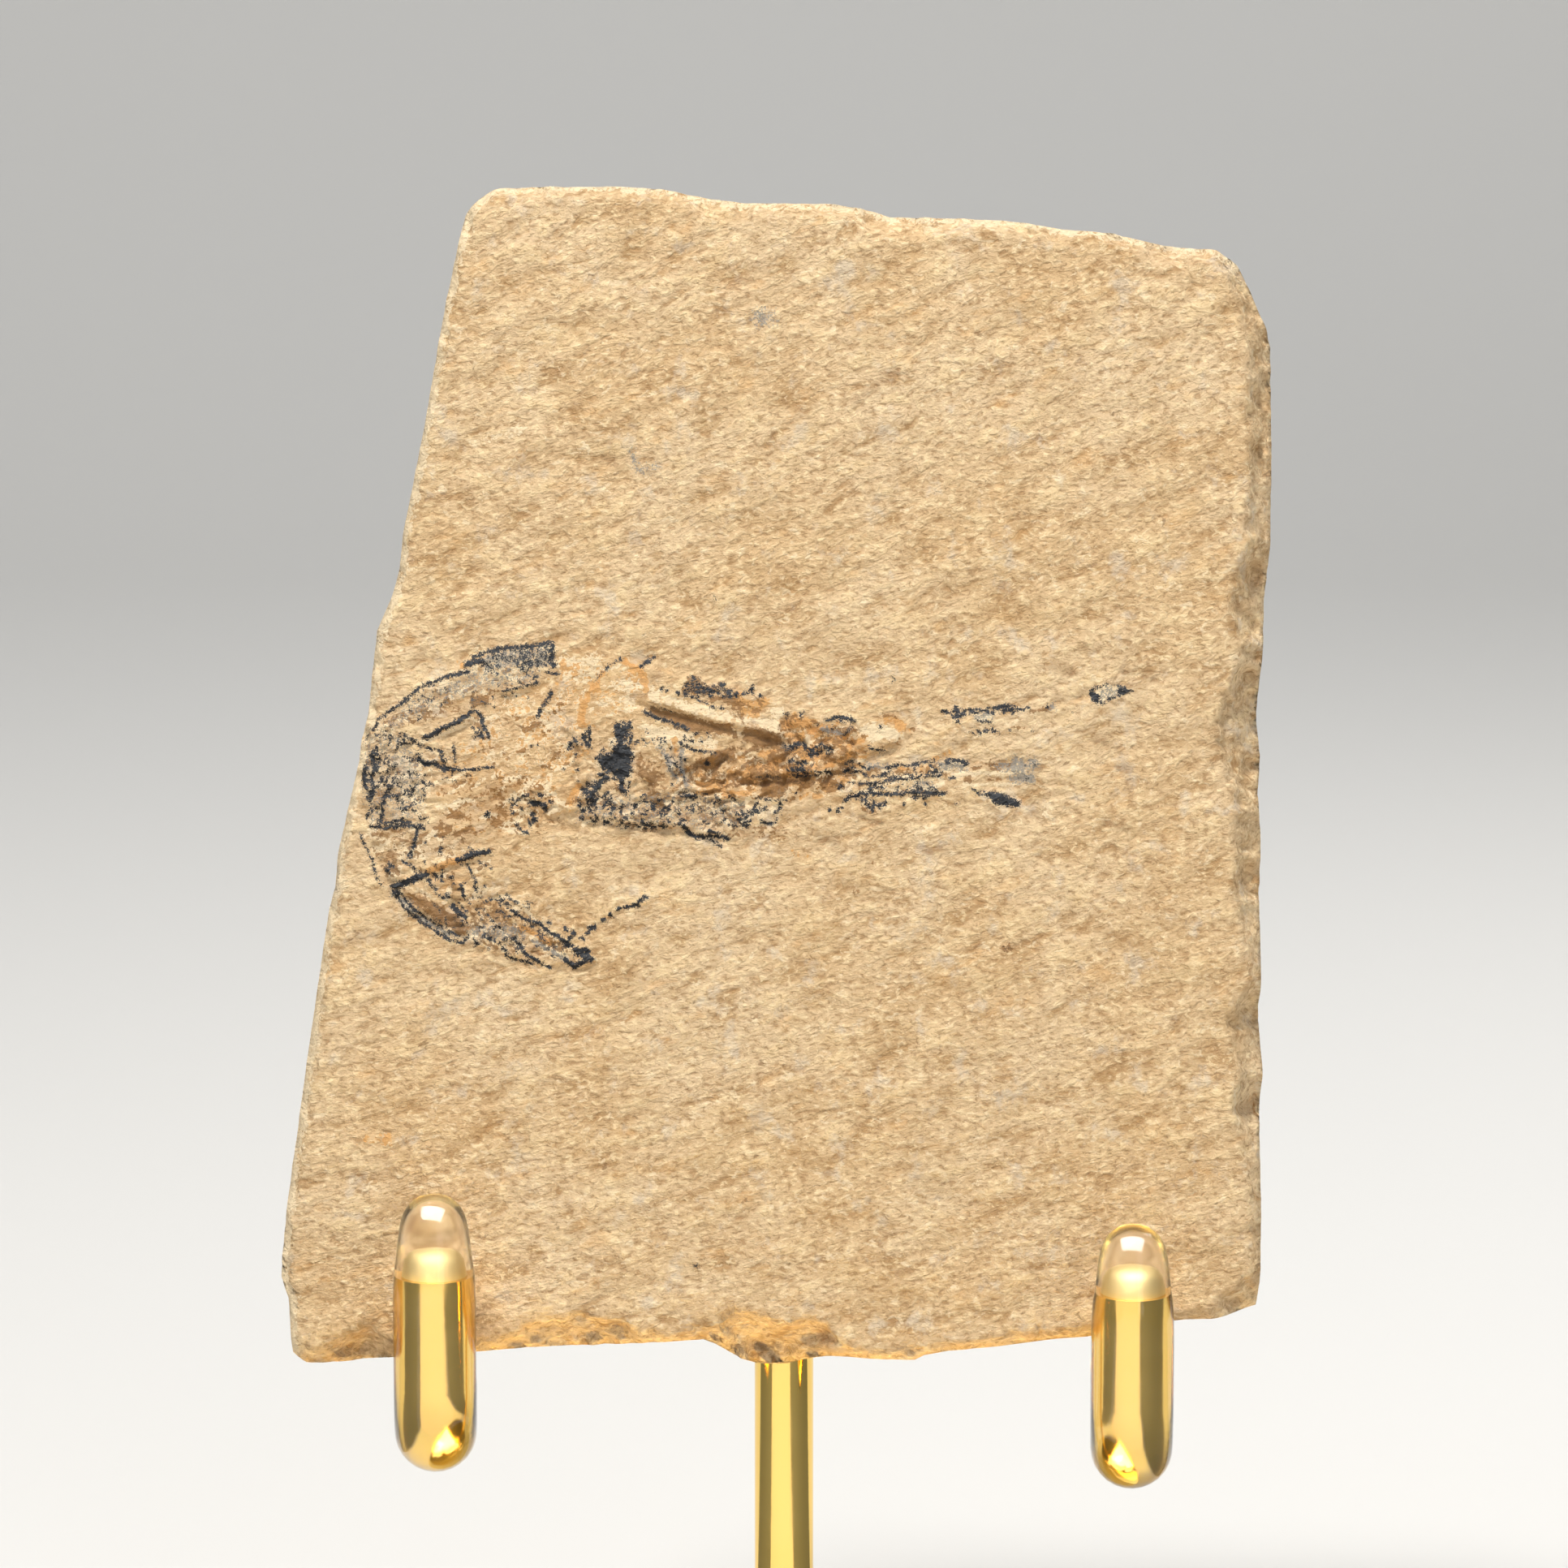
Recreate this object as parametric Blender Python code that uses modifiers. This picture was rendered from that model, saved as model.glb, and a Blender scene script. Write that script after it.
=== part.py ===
"""A split limestone plate with a fossil shrimp, leaning in a bent-rod brass stand.

Shapes are worked out in millimetres, and MM turns them into Blender's metres where a
mesh or a curve is made. +Z is up, the stand's foot is centred on the origin, and the
plate's face looks along -Y. The plate has a frame of its own: u runs right across its
face, v up it, and depth back into the stone.
"""

from math import cos, pi, radians, sin, sqrt, tan

import bmesh
import bpy
import numpy as np
from mathutils import Vector, noise

MM = 0.001

# The plate
PLATE_THICKNESS = 9.0
PLATE_LEAN = radians(8)
FACE_HEIGHT = 90.0
STONE_TRIANGLES = 6200
GRID_PITCH = 0.72
WALL_ROWS = 6

# The stand
ROD_RADIUS = 2.4
SLEEVE_RADIUS = 3.25
FIT_GAP = 0.3
BAR_HEIGHT = 67.0
FRONT_BEND = 4.5
REAR_BEND = 4.4
CORNER_BEND = 6.5
BEND_STEPS = 5
ROD_RESOLUTION = 4
POST_SIDES = 16
SLEEVE_PAST_PLATE = 1.3
BORE_OVERSHOOT = 1.0

# The prongs stand this far in front of the face's edge at this height up the face
PRONG_LEVEL = -45.4
PRONG_CLEARANCE = 0.5

# Each prong: its place across, the height of its rod's end, of its clear tip and of its
# leg at the front, and how far the plate's back edge hangs below its face edge there.
PRONGS = {
    "left": {"x": -27.35, "rod_end": 52.5, "tip": 59.05, "leg": 38.5, "drop": 0.2},
    "right": {"x": 27.3, "rod_end": 51.1, "tip": 56.65, "leg": 35.2, "drop": 0.85},
}

# The clear tip's outline: how far below the top it is, and its radius there
TIP_PROFILE = ((0.0, 0.45), (0.3, 1.35), (0.9, 2.1), (2.0, 2.6), (4.0, 2.85), (6.2, 3.15))

# The foot
BASE_RADIUS = 35.0
BASE_EDGE = 2.6
BASE_SHOULDER = 1.2
BASE_BEVEL = 0.6
BOSS_RADIUS = 6.6
BOSS_HEIGHT = 7.0
BOSS_BEVEL = 0.7
FLARE_WIDTH = 1.2
FLARE_HEIGHT = 5.0
SOCKET_FLOOR = 3.0
BASE_STEPS = 32

# The plate's four broken edges, as (u, v) at its widest
LEFT_EDGE = (
    (-38.9, -45.0), (-39.1, -42.3), (-39.2, -40.7), (-39.8, -39.0), (-39.7, -37.1), (-39.2, -32.3),
    (-38.5, -27.4), (-37.7, -21.4), (-36.6, -14.0), (-36.0, -9.9), (-35.5, -8.1), (-35.3, -5.4),
    (-34.4, -1.6), (-33.6, 1.8), (-33.4, 3.6), (-32.9, 5.4), (-32.6, 8.5), (-32.2, 12.1),
    (-31.0, 14.9), (-30.4, 17.1), (-30.2, 19.6), (-29.4, 23.5), (-28.4, 28.6), (-27.6, 33.4),
    (-26.7, 38.4), (-25.7, 43.0), (-25.2, 45.1), (-24.1, 46.4),
)
TOP_EDGE = (
    (-24.1, 46.4), (-22.8, 47.2), (-19.1, 47.3), (-14.0, 47.35), (-9.7, 47.1), (-6.5, 46.5),
    (-3.6, 46.1), (0.0, 46.0), (4.0, 45.95), (7.0, 45.4), (8.4, 45.0), (14.0, 44.8), (18.0, 44.6),
    (22.0, 43.95), (26.0, 43.6), (27.5, 43.25), (30.3, 42.7), (34.3, 42.3), (35.9, 41.1),
)
RIGHT_EDGE = (
    (37.5, -41.4), (37.7, -39.1), (37.8, -34.2), (37.7, -27.8), (38.0, -22.5), (37.7, -18.8),
    (37.8, -13.9), (37.7, -9.0), (37.9, -4.1), (37.6, -0.9), (37.9, 1.3), (37.6, 5.7), (38.0, 10.6),
    (38.3, 16.2), (38.6, 18.9), (38.7, 26.1), (38.6, 34.7), (38.3, 36.0), (36.8, 39.4), (35.9, 41.1),
)
BOTTOM_EDGE = (
    (-38.9, -45.0), (-37.8, -45.85), (-34.2, -45.8), (-31.0, -45.4), (-24.1, -44.9), (-20.1, -44.7),
    (-15.2, -44.6), (-10.3, -44.2), (-7.8, -44.1), (-6.1, -44.0), (-5.1, -44.2), (-4.4, -44.8),
    (-3.6, -45.6), (-2.6, -46.0), (-0.9, -46.1), (0.5, -46.0), (1.8, -45.6), (4.1, -45.3),
    (7.1, -45.5), (10.3, -45.6), (11.5, -45.0), (16.9, -44.5), (21.8, -43.8), (24.3, -43.6),
    (31.1, -42.4), (34.1, -42.3), (37.5, -41.4),
)

# Where the flat face ends and the broken edge begins, once round from the bottom left
FACE_RIM = (
    (-38.4, -44.0), (-38.5, -41.0), (-39.1, -38.6), (-38.9, -35.0), (-38.0, -28.0), (-36.9, -21.0),
    (-35.8, -13.0), (-34.9, -7.5), (-34.1, -2.5), (-33.0, 2.5), (-32.2, 6.5), (-31.6, 12.3),
    (-30.2, 15.5), (-29.6, 19.5), (-28.2, 26.5), (-27.2, 32.0), (-26.1, 38.0), (-25.0, 43.3),
    (-24.0, 45.4), (-22.6, 46.2), (-20.9, 45.9), (-17.4, 46.4), (-11.7, 46.3), (-7.5, 45.6),
    (-6.3, 44.7), (-3.5, 44.5), (0.0, 44.9), (3.7, 44.9), (5.5, 44.3), (7.0, 43.4), (11.0, 43.2),
    (14.5, 43.6), (17.5, 43.6), (21.5, 42.9), (24.5, 43.1), (26.6, 42.5), (28.4, 41.5), (30.0, 40.9),
    (32.5, 40.9), (34.4, 41.1), (35.6, 38.6), (36.6, 35.5), (36.7, 31.5), (36.8, 25.0), (36.6, 19.0),
    (35.8, 16.2), (35.2, 13.2), (36.2, 10.6), (35.2, 7.4), (34.4, 5.8), (34.4, 3.5), (34.8, 1.4),
    (35.7, -2.0), (35.6, -6.3), (35.5, -9.0), (36.2, -11.4), (37.1, -15.3), (36.2, -17.1),
    (34.8, -18.5), (35.4, -20.3), (36.2, -23.7), (35.4, -25.4), (36.4, -28.5), (36.9, -34.0),
    (36.8, -38.8), (34.6, -40.6), (34.0, -41.7), (30.9, -42.0), (23.0, -43.0), (14.4, -44.0),
    (10.8, -44.6), (7.8, -44.9), (4.6, -44.5), (4.0, -43.3), (3.0, -42.4), (-0.4, -42.4),
    (-3.1, -41.7), (-5.3, -42.6), (-9.5, -43.4), (-11.2, -43.3), (-12.7, -42.3), (-14.2, -42.3),
    (-15.9, -41.6), (-18.1, -42.1), (-20.6, -42.7), (-22.5, -43.9), (-26.0, -44.4), (-30.0, -44.5),
    (-31.0, -43.9), (-32.9, -42.5), (-35.7, -44.2), (-37.4, -44.9),
)
BREAK_START = 0.3
BREAK_SLOPE = 0.85
BREAK_ROUGHNESS = 0.25
BREAK_LUMP = 2.5

# The walls' strata: their thickness, how far they run along the wall, how far they stand
# in or out, and how far the wall as a whole is set in, so that none passes the outline
STRATUM = 1.3
STRATUM_RUN = 5.0
STRATUM_RELIEF = 0.35
WALL_INSET = 0.3

# The back: its hollows' depth and size, and how far and how deep its rim is chipped
BACK_HOLLOW = 0.2
BACK_LUMP = 6.0
BACK_CHIP_REACH = 1.6
BACK_CHIP = 0.9

# The bottom break leans back only below this height up the face, fully this much lower
BACK_DROP_STARTS = -40.0
BACK_DROP_FADE = 3.0

# The split's swells: the height and the size of each
BROAD_SWELL = (0.16, 9.0)
SMALL_SWELL = (0.1, 3.2)

# Areas of the animal that stand proud of the split: outline, lift and soft border
BODY_AREAS = (
    (
        (
            (-32.4, 4.3), (-29.4, 6.9), (-24.6, 10.0), (-18.2, 11.1), (-13.0, 9.9), (-8.0, 8.6),
            (-1.0, 6.9), (5.2, 5.2), (9.8, 4.6), (9.6, 3.6), (5.5, 2.0), (5.0, -1.4), (0.0, -2.2),
            (-4.5, -4.0), (-9.0, -3.4), (-16.0, -2.6), (-23.0, -0.5), (-23.4, -5.4), (-24.0, -8.5),
            (-25.5, -12.3), (-30.8, -8.2), (-32.6, -4.0), (-33.1, 0.0),
        ),
        0.35,
        1.0,
    ),
    (
        ((-25.5, -9.3), (-21.0, -9.0), (-14.8, -13.0), (-15.0, -14.5), (-20.0, -14.2), (-25.4, -12.5)),
        0.3,
        0.7,
    ),
)

# Ledges, listed left to right: the stone above each line rises to it and drops past it.
# Each has its points, its lift, its drop and how far the rise reaches.
LEDGES = (
    (((-11.2, 6.7), (-8.0, 5.85), (-5.0, 4.95), (-2.6, 4.5), (-0.1, 3.85)), 0.8, 0.6, 2.2),
    (((-8.2, 1.4), (-6.5, 1.9), (-5.0, 2.45), (-3.9, 2.75)), 0.45, 0.4, 1.4),
    (((-28.6, 3.6), (-26.5, 4.5), (-25.2, 5.05), (-24.2, 5.8)), 0.3, 0.3, 1.6),
    (((-23.6, 7.6), (-22.0, 7.35), (-20.6, 7.7), (-19.2, 8.1)), 0.25, 0.2, 1.2),
    (((-28.6, -7.0), (-26.8, -6.3), (-25.4, -5.9), (-23.2, -5.2)), 0.3, 0.25, 1.0),
    (((-3.4, 0.9), (-1.5, 0.75), (0.5, 0.9), (2.8, 1.1), (4.8, 1.5)), 0.5, 0.45, 1.0),
    (((-2.0, -1.1), (-0.6, -1.2), (0.6, -0.7)), 0.35, 0.3, 0.9),
    (((6.4, 2.7), (7.6, 2.9), (9.3, 3.6)), 0.4, 0.2, 1.6),
    (((-16.0, -2.2), (-13.0, -2.8), (-9.0, -3.1), (-4.6, -4.1)), 0.25, 0.25, 1.0),
)
LEDGE_WALL = 0.9

# The leg cluster, crumpled into sharp flakes
CLUSTER = (
    (-9.0, 2.6), (-3.0, 3.4), (0.5, 5.3), (5.6, 4.8), (6.6, 2.4), (5.2, 0.0), (1.0, -1.3),
    (-5.0, -1.5), (-9.5, -0.6),
)
FLAKE_HEIGHT = 0.42
FLAKE_SIZE = 1.7
FLAKE_BORDER = 1.5

# A change of surface sharper than this is an edge
SHARP_ANGLE = radians(45)
WELD = 0.00001


def clear_scene():
    """Start from an empty file, whatever is open."""
    for thing in list(bpy.data.objects):
        bpy.data.objects.remove(thing)


def new_collection(name):
    collection = bpy.data.collections.new(name)
    bpy.context.scene.collection.children.link(collection)
    return collection


def new_material(name, colour, roughness, metallic=0.0):
    material = bpy.data.materials.new(name)
    material.use_nodes = True
    shader = material.node_tree.nodes["Principled BSDF"]
    shader.inputs["Base Color"].default_value = (*colour, 1.0)
    shader.inputs["Roughness"].default_value = roughness
    shader.inputs["Metallic"].default_value = metallic
    return material


def add_object(name, data, collection, material):
    thing = bpy.data.objects.new(name, data)
    collection.objects.link(thing)
    data.materials.append(material)
    return thing


# Measuring on the face, for many points at once


def to_line(points, line, closed=False):
    """The distance of each point to a line of points, and which side it is on: 1 is its left."""
    corners = np.array(line, float)
    ends = np.roll(corners, -1, axis=0) if closed else corners[1:]
    starts = corners if closed else corners[:-1]
    best = np.full(len(points), np.inf)
    side = np.ones(len(points))
    for start, end in zip(starts, ends):
        run = end - start
        offset = points - start
        along = np.clip(offset @ run / (run @ run), 0.0, 1.0)
        distance = np.linalg.norm(offset - along[:, None] * run, axis=1)
        nearer = distance < best
        best[nearer] = distance[nearer]
        cross = run[0] * offset[:, 1] - run[1] * offset[:, 0]
        side[nearer] = np.where(cross[nearer] >= 0, 1.0, -1.0)
    return best, side


def is_inside(points, outline):
    """Whether each point lies in a closed outline."""
    inside = np.zeros(len(points), bool)
    corners = np.array(outline, float)
    for (x0, y0), (x1, y1) in zip(corners, np.roll(corners, -1, axis=0)):
        if y0 == y1:
            continue
        spans = (points[:, 1] < y0) != (points[:, 1] < y1)
        reach = (x1 - x0) * (points[:, 1] - y0) / (y1 - y0) + x0
        inside ^= spans & (points[:, 0] < reach)
    return inside


def soft_area(points, outline, border):
    """1 inside an outline, 0 outside, with a smooth change over the border's width."""
    distance, _ = to_line(points, outline, closed=True)
    signed = np.where(is_inside(points, outline), distance, -distance)
    share = np.clip(0.5 + signed / border, 0.0, 1.0)
    return share * share * (3 - 2 * share)


def lumps(points, size, seed=0.0):
    """Smooth noise between about -1 and 1 whose lumps are the given size."""
    return np.array([noise.noise(Vector((u / size, v / size, seed))) for u, v in points])


def along_edge(edge, shares):
    """Points at these shares of an edge's length."""
    corners = np.array(edge, float)
    steps = np.linalg.norm(np.diff(corners, axis=0), axis=1)
    reached = np.concatenate([[0.0], np.cumsum(steps)]) / steps.sum()
    return np.stack([np.interp(shares, reached, corners[:, axis]) for axis in (0, 1)], axis=1)


def spread_over_plate(s, t):
    """Carry a unit square onto the plate, so that its four sides follow the four edges."""
    left, right = along_edge(LEFT_EDGE, t), along_edge(RIGHT_EDGE, t)
    bottom, top = along_edge(BOTTOM_EDGE, s), along_edge(TOP_EDGE, s)
    s, t = s[:, None], t[:, None]
    corners = (
        (1 - s) * (1 - t) * np.array(LEFT_EDGE[0])
        + s * (1 - t) * np.array(RIGHT_EDGE[0])
        + (1 - s) * t * np.array(LEFT_EDGE[-1])
        + s * t * np.array(RIGHT_EDGE[-1])
    )
    return (1 - s) * left + s * right + (1 - t) * bottom + t * top - corners


# The plate's surfaces


def face_lift(points):
    """How far the face stands proud of its plane: the split's swells, and the animal."""
    broad, small = BROAD_SWELL, SMALL_SWELL
    lift = broad[0] * lumps(points, broad[1]) + small[0] * lumps(points, small[1], seed=5.0)
    for outline, height, border in BODY_AREAS:
        lift += height * soft_area(points, outline, border)
    for line, rise, drop, reach in LEDGES:
        distance, side = to_line(points, line)
        above = rise * np.clip(1 - distance / reach, 0.0, 1.0) ** 2
        below = np.interp(distance, (0, LEDGE_WALL, 2 * LEDGE_WALL), (rise, -drop, 0.0))
        lift += np.where(side > 0, above, below)
    # Noise folded at zero has sharp creases. Doubled and lowered, it swings both ways.
    flakes = np.abs(lumps(points, FLAKE_SIZE, seed=9.0)) * 2 - 0.5
    return lift + FLAKE_HEIGHT * flakes * soft_area(points, CLUSTER, FLAKE_BORDER)


def break_depth(points, outline):
    """How far the broken edge has fallen behind the face, deeper where the break is wider."""
    to_rim, _ = to_line(points, FACE_RIM, closed=True)
    to_outside, _ = to_line(points, outline, closed=True)
    width = to_rim + to_outside
    rough = 1 + BREAK_ROUGHNESS * lumps(points, BREAK_LUMP, seed=3.0)
    fallen = BREAK_START + BREAK_SLOPE * width * rough
    return np.where(is_inside(points, FACE_RIM), 0.0, fallen * to_rim / width)


def back_drop(u):
    """How far the bottom break slopes down towards the back, from the two resting places."""
    left, right = PRONGS["left"], PRONGS["right"]
    return np.interp(u, (left["x"], right["x"]), (left["drop"], right["drop"]))


def plate_cage():
    """A slab in unit coordinates: a fine front sheet, its copy as the back, and walls in rows."""
    width = RIGHT_EDGE[0][0] - LEFT_EDGE[0][0]
    height = LEFT_EDGE[-1][1] - LEFT_EDGE[0][1]
    cage = bmesh.new()
    bmesh.ops.create_grid(
        cage,
        x_segments=round(width / GRID_PITCH),
        y_segments=round(height / GRID_PITCH),
        size=1.0,
    )
    copy = bmesh.ops.duplicate(cage, geom=cage.verts[:] + cage.edges[:] + cage.faces[:])["geom"]
    back = [item for item in copy if isinstance(item, bmesh.types.BMVert)]
    bmesh.ops.translate(cage, verts=back, vec=(0, 0, -1))
    bmesh.ops.reverse_faces(cage, faces=[f for f in copy if isinstance(f, bmesh.types.BMFace)])
    rims = [edge for edge in cage.edges if edge.is_boundary]
    walls = bmesh.ops.bridge_loops(cage, edges=rims)["edges"]
    bmesh.ops.subdivide_edges(cage, edges=walls, cuts=WALL_ROWS - 1, use_grid_fill=True)
    bmesh.ops.recalc_face_normals(cage, faces=cage.faces[:])
    return cage


def shape_plate(cage):
    """Move the cage's points onto the stone's face, broken walls and back."""
    cage_points = np.array([vert.co[:] for vert in cage.verts])
    s, t = (cage_points[:, 0] + 1) / 2, (cage_points[:, 1] + 1) / 2
    layer = -cage_points[:, 2]
    flat = spread_over_plate(s, t)
    outline = LEFT_EDGE[::-1][:-1] + BOTTOM_EDGE[:-1] + RIGHT_EDGE[:-1] + TOP_EDGE[::-1][:-1]
    front = break_depth(flat, outline) - face_lift(flat)
    to_outside, _ = to_line(flat, outline, closed=True)
    chipped = np.clip(1 - to_outside / BACK_CHIP_REACH, 0.0, 1.0) ** 2
    hollows = BACK_HOLLOW * np.abs(lumps(flat, BACK_LUMP, seed=7.0))
    back = PLATE_THICKNESS - hollows - BACK_CHIP * chipped
    depth = (1 - layer) * front + layer * back

    on_walls = (layer > 0.01) & (layer < 0.99)
    outwards = flat - flat.mean(axis=0)
    outwards /= np.linalg.norm(outwards, axis=1)[:, None]
    beds = np.column_stack([flat / STRATUM_RUN, depth / STRATUM])
    strata = np.array([noise.noise(Vector(place)) for place in beds])
    flat = flat + outwards * (on_walls * (STRATUM_RELIEF * strata - WALL_INSET))[:, None]
    lowest = np.clip((BACK_DROP_STARTS - flat[:, 1]) / BACK_DROP_FADE, 0.0, 1.0)
    flat[:, 1] -= lowest * layer * back_drop(flat[:, 0])
    for vert, (u, v), behind in zip(cage.verts, flat, depth):
        vert.co = Vector((u, behind, v)) * MM


def make_slab(collection, material):
    cage = plate_cage()
    shape_plate(cage)
    bmesh.ops.recalc_face_normals(cage, faces=cage.faces[:])
    bmesh.ops.triangulate(cage, faces=cage.faces[:])
    dense = len(cage.faces)
    mesh = bpy.data.meshes.new("fossil_slab")
    cage.to_mesh(mesh)
    cage.free()
    slab = add_object("fossil_slab", mesh, collection, material)
    slab.location = (0, FACE_Y * MM, FACE_HEIGHT * MM)
    slab.rotation_euler = (-PLATE_LEAN, 0, 0)
    thin = slab.modifiers.new("fewer faces", "DECIMATE")
    thin.ratio = STONE_TRIANGLES / dense
    return slab


# Where the plate and the rods meet, worked out from the lean

FACE_Y = -(
    PLATE_THICKNESS + FIT_GAP + ROD_RADIUS - (FACE_HEIGHT - BAR_HEIGHT) * sin(PLATE_LEAN)
) / cos(PLATE_LEAN)


def on_plate(v, depth):
    """World y and z of a point on the plate at this height up its face and this depth."""
    y = FACE_Y + v * sin(PLATE_LEAN) + depth * cos(PLATE_LEAN)
    z = FACE_HEIGHT + v * cos(PLATE_LEAN) - depth * sin(PLATE_LEAN)
    return y, z


PRONG_Y = on_plate(PRONG_LEVEL, 0)[0] - SLEEVE_RADIUS - PRONG_CLEARANCE


def plate_rest(prong):
    """World y and z of the plate's lowest back edge over a prong's leg."""
    bottom = np.array(BOTTOM_EDGE)
    v = float(np.interp(prong["x"], bottom[:, 0], bottom[:, 1])) - prong["drop"]
    return on_plate(v, PLATE_THICKNESS)


def leg_rise(prong):
    """How far the leg climbs for each millimetre back, to pass just under the plate's edge."""
    rest_y, rest_z = plate_rest(prong)
    run = rest_y - PRONG_Y
    climb = rest_z - FIT_GAP - prong["leg"]
    steep = (climb - SLEEVE_RADIUS) / run
    return (climb - SLEEVE_RADIUS * sqrt(1 + steep**2)) / run


def rounded_path(corners, radii):
    """A line of points through the corners, with an arc of the given radius at each bend."""
    points = [Vector(corners[0])]
    for before, corner, after, radius in zip(corners, corners[1:], corners[2:], radii):
        corner = Vector(corner)
        inwards = (Vector(before) - corner).normalized()
        outwards = (Vector(after) - corner).normalized()
        half = inwards.angle(outwards) / 2
        centre = corner + (inwards + outwards).normalized() * (radius / sin(half))
        start = corner + inwards * (radius / tan(half)) - centre
        axis = start.cross(corner - centre).normalized()
        turn = pi - 2 * half
        for step in range(BEND_STEPS + 1):
            angle = turn * step / BEND_STEPS
            points.append(centre + start * cos(angle) + axis.cross(start) * sin(angle))
    return points + [Vector(corners[-1])]


def rod(name, points, radii):
    """A round rod along the points, as a closed mesh."""
    curve = bpy.data.curves.new(name, "CURVE")
    curve.dimensions = "3D"
    curve.bevel_depth = MM
    curve.bevel_resolution = ROD_RESOLUTION
    curve.use_fill_caps = True
    spline = curve.splines.new("POLY")
    spline.points.add(len(points) - 1)
    for spot, point, radius in zip(spline.points, points, radii):
        spot.co = (*(point * MM), 1.0)
        spot.radius = radius
    guide = bpy.data.objects.new(name + " path", curve)
    bpy.context.scene.collection.objects.link(guide)
    bpy.context.view_layer.update()
    evaluated = guide.evaluated_get(bpy.context.evaluated_depsgraph_get())
    mesh = bpy.data.meshes.new_from_object(evaluated)
    mesh.name = name
    bpy.data.objects.remove(guide)
    welded = bmesh.new()
    welded.from_mesh(mesh)
    bmesh.ops.remove_doubles(welded, verts=welded.verts[:], dist=WELD)
    bmesh.ops.recalc_face_normals(welded, faces=welded.faces[:])
    welded.to_mesh(mesh)
    welded.free()
    mesh.shade_smooth()
    mesh.set_sharp_from_angle(angle=SHARP_ANGLE)
    return mesh


def make_cradle(collection, material):
    """One rod: up from a front prong's end, back, up, across and down to the other."""
    halves = {}
    for side, prong in PRONGS.items():
        leg_back = prong["leg"] - leg_rise(prong) * PRONG_Y
        halves[side] = [
            (prong["x"], PRONG_Y, prong["rod_end"]),
            (prong["x"], PRONG_Y, prong["leg"]),
            (prong["x"], 0, leg_back),
            (prong["x"], 0, BAR_HEIGHT),
        ]
    bends = (FRONT_BEND, REAR_BEND, CORNER_BEND, CORNER_BEND, REAR_BEND, FRONT_BEND)
    points = rounded_path(halves["left"] + halves["right"][::-1], bends)
    mesh = rod("cradle", points, [ROD_RADIUS] * len(points))
    return add_object("cradle", mesh, collection, material)


def make_post(collection, material):
    low = SOCKET_FLOOR + FIT_GAP
    high = BAR_HEIGHT - ROD_RADIUS - FIT_GAP
    turned = bmesh.new()
    bmesh.ops.create_cone(
        turned,
        cap_ends=True,
        segments=POST_SIDES,
        radius1=ROD_RADIUS * MM,
        radius2=ROD_RADIUS * MM,
        depth=(high - low) * MM,
    )
    mesh = bpy.data.meshes.new("post")
    turned.to_mesh(mesh)
    turned.free()
    mesh.shade_smooth()
    mesh.set_sharp_from_angle(angle=SHARP_ANGLE)
    post = add_object("post", mesh, collection, material)
    post.location = (0, 0, (high + low) / 2 * MM)
    return post


def make_base(collection, material):
    """A turned foot: a flat disc with a low cone up to the boss that holds the post."""
    socket = ROD_RADIUS + FIT_GAP
    profile = (
        (0, SOCKET_FLOOR),
        (socket, SOCKET_FLOOR),
        (socket, BOSS_HEIGHT),
        (BOSS_RADIUS - BOSS_BEVEL, BOSS_HEIGHT),
        (BOSS_RADIUS, BOSS_HEIGHT - BOSS_BEVEL),
        (BOSS_RADIUS + FLARE_WIDTH, FLARE_HEIGHT),
        (BASE_RADIUS - BASE_SHOULDER, BASE_EDGE + BASE_SHOULDER / 2),
        (BASE_RADIUS, BASE_EDGE - BASE_SHOULDER / 2),
        (BASE_RADIUS, BASE_BEVEL),
        (BASE_RADIUS - BASE_BEVEL, 0),
        (0, 0),
    )
    mesh = bpy.data.meshes.new("base")
    outline = [(radius * MM, 0, height * MM) for radius, height in profile]
    mesh.from_pydata(outline, [(i, i + 1) for i in range(len(outline) - 1)], [])
    base = add_object("base", mesh, collection, material)
    turned = base.modifiers.new("turned", "SCREW")
    turned.steps = turned.render_steps = BASE_STEPS
    turned.use_merge_vertices = True
    turned.merge_threshold = WELD
    turned.use_smooth_shade = False
    return base


def make_sleeve(side, collection, cutters, material):
    """A clear sleeve from its domed tip down the prong and back along the leg."""
    prong = PRONGS[side]
    sleeve_end = plate_rest(prong)[0] + SLEEVE_PAST_PLATE

    def route(top, leg_end):
        corners = (
            (prong["x"], PRONG_Y, top),
            (prong["x"], PRONG_Y, prong["leg"]),
            (prong["x"], leg_end, prong["leg"] + leg_rise(prong) * (leg_end - PRONG_Y)),
        )
        return rounded_path(corners, (FRONT_BEND,))

    name = side + "_sleeve"
    outside = route(prong["tip"] - TIP_PROFILE[-1][0], sleeve_end)
    tip = [Vector((prong["x"], PRONG_Y, prong["tip"] - below)) for below, _ in TIP_PROFILE]
    radii = [radius for _, radius in TIP_PROFILE] + [SLEEVE_RADIUS] * (len(outside) - 1)
    sleeve = add_object(name, rod(name, tip + outside[1:], radii), collection, material)

    inside = route(prong["rod_end"] + FIT_GAP, sleeve_end + BORE_OVERSHOOT)
    bore = rod(name + " bore", inside, [ROD_RADIUS + FIT_GAP] * len(inside))
    cutter = bpy.data.objects.new(name + " bore", bore)
    cutters.objects.link(cutter)
    cutter.hide_render = True
    cutter.display_type = "WIRE"
    cut = sleeve.modifiers.new("bore", "BOOLEAN")
    cut.operation = "DIFFERENCE"
    cut.object = cutter
    return sleeve


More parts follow.
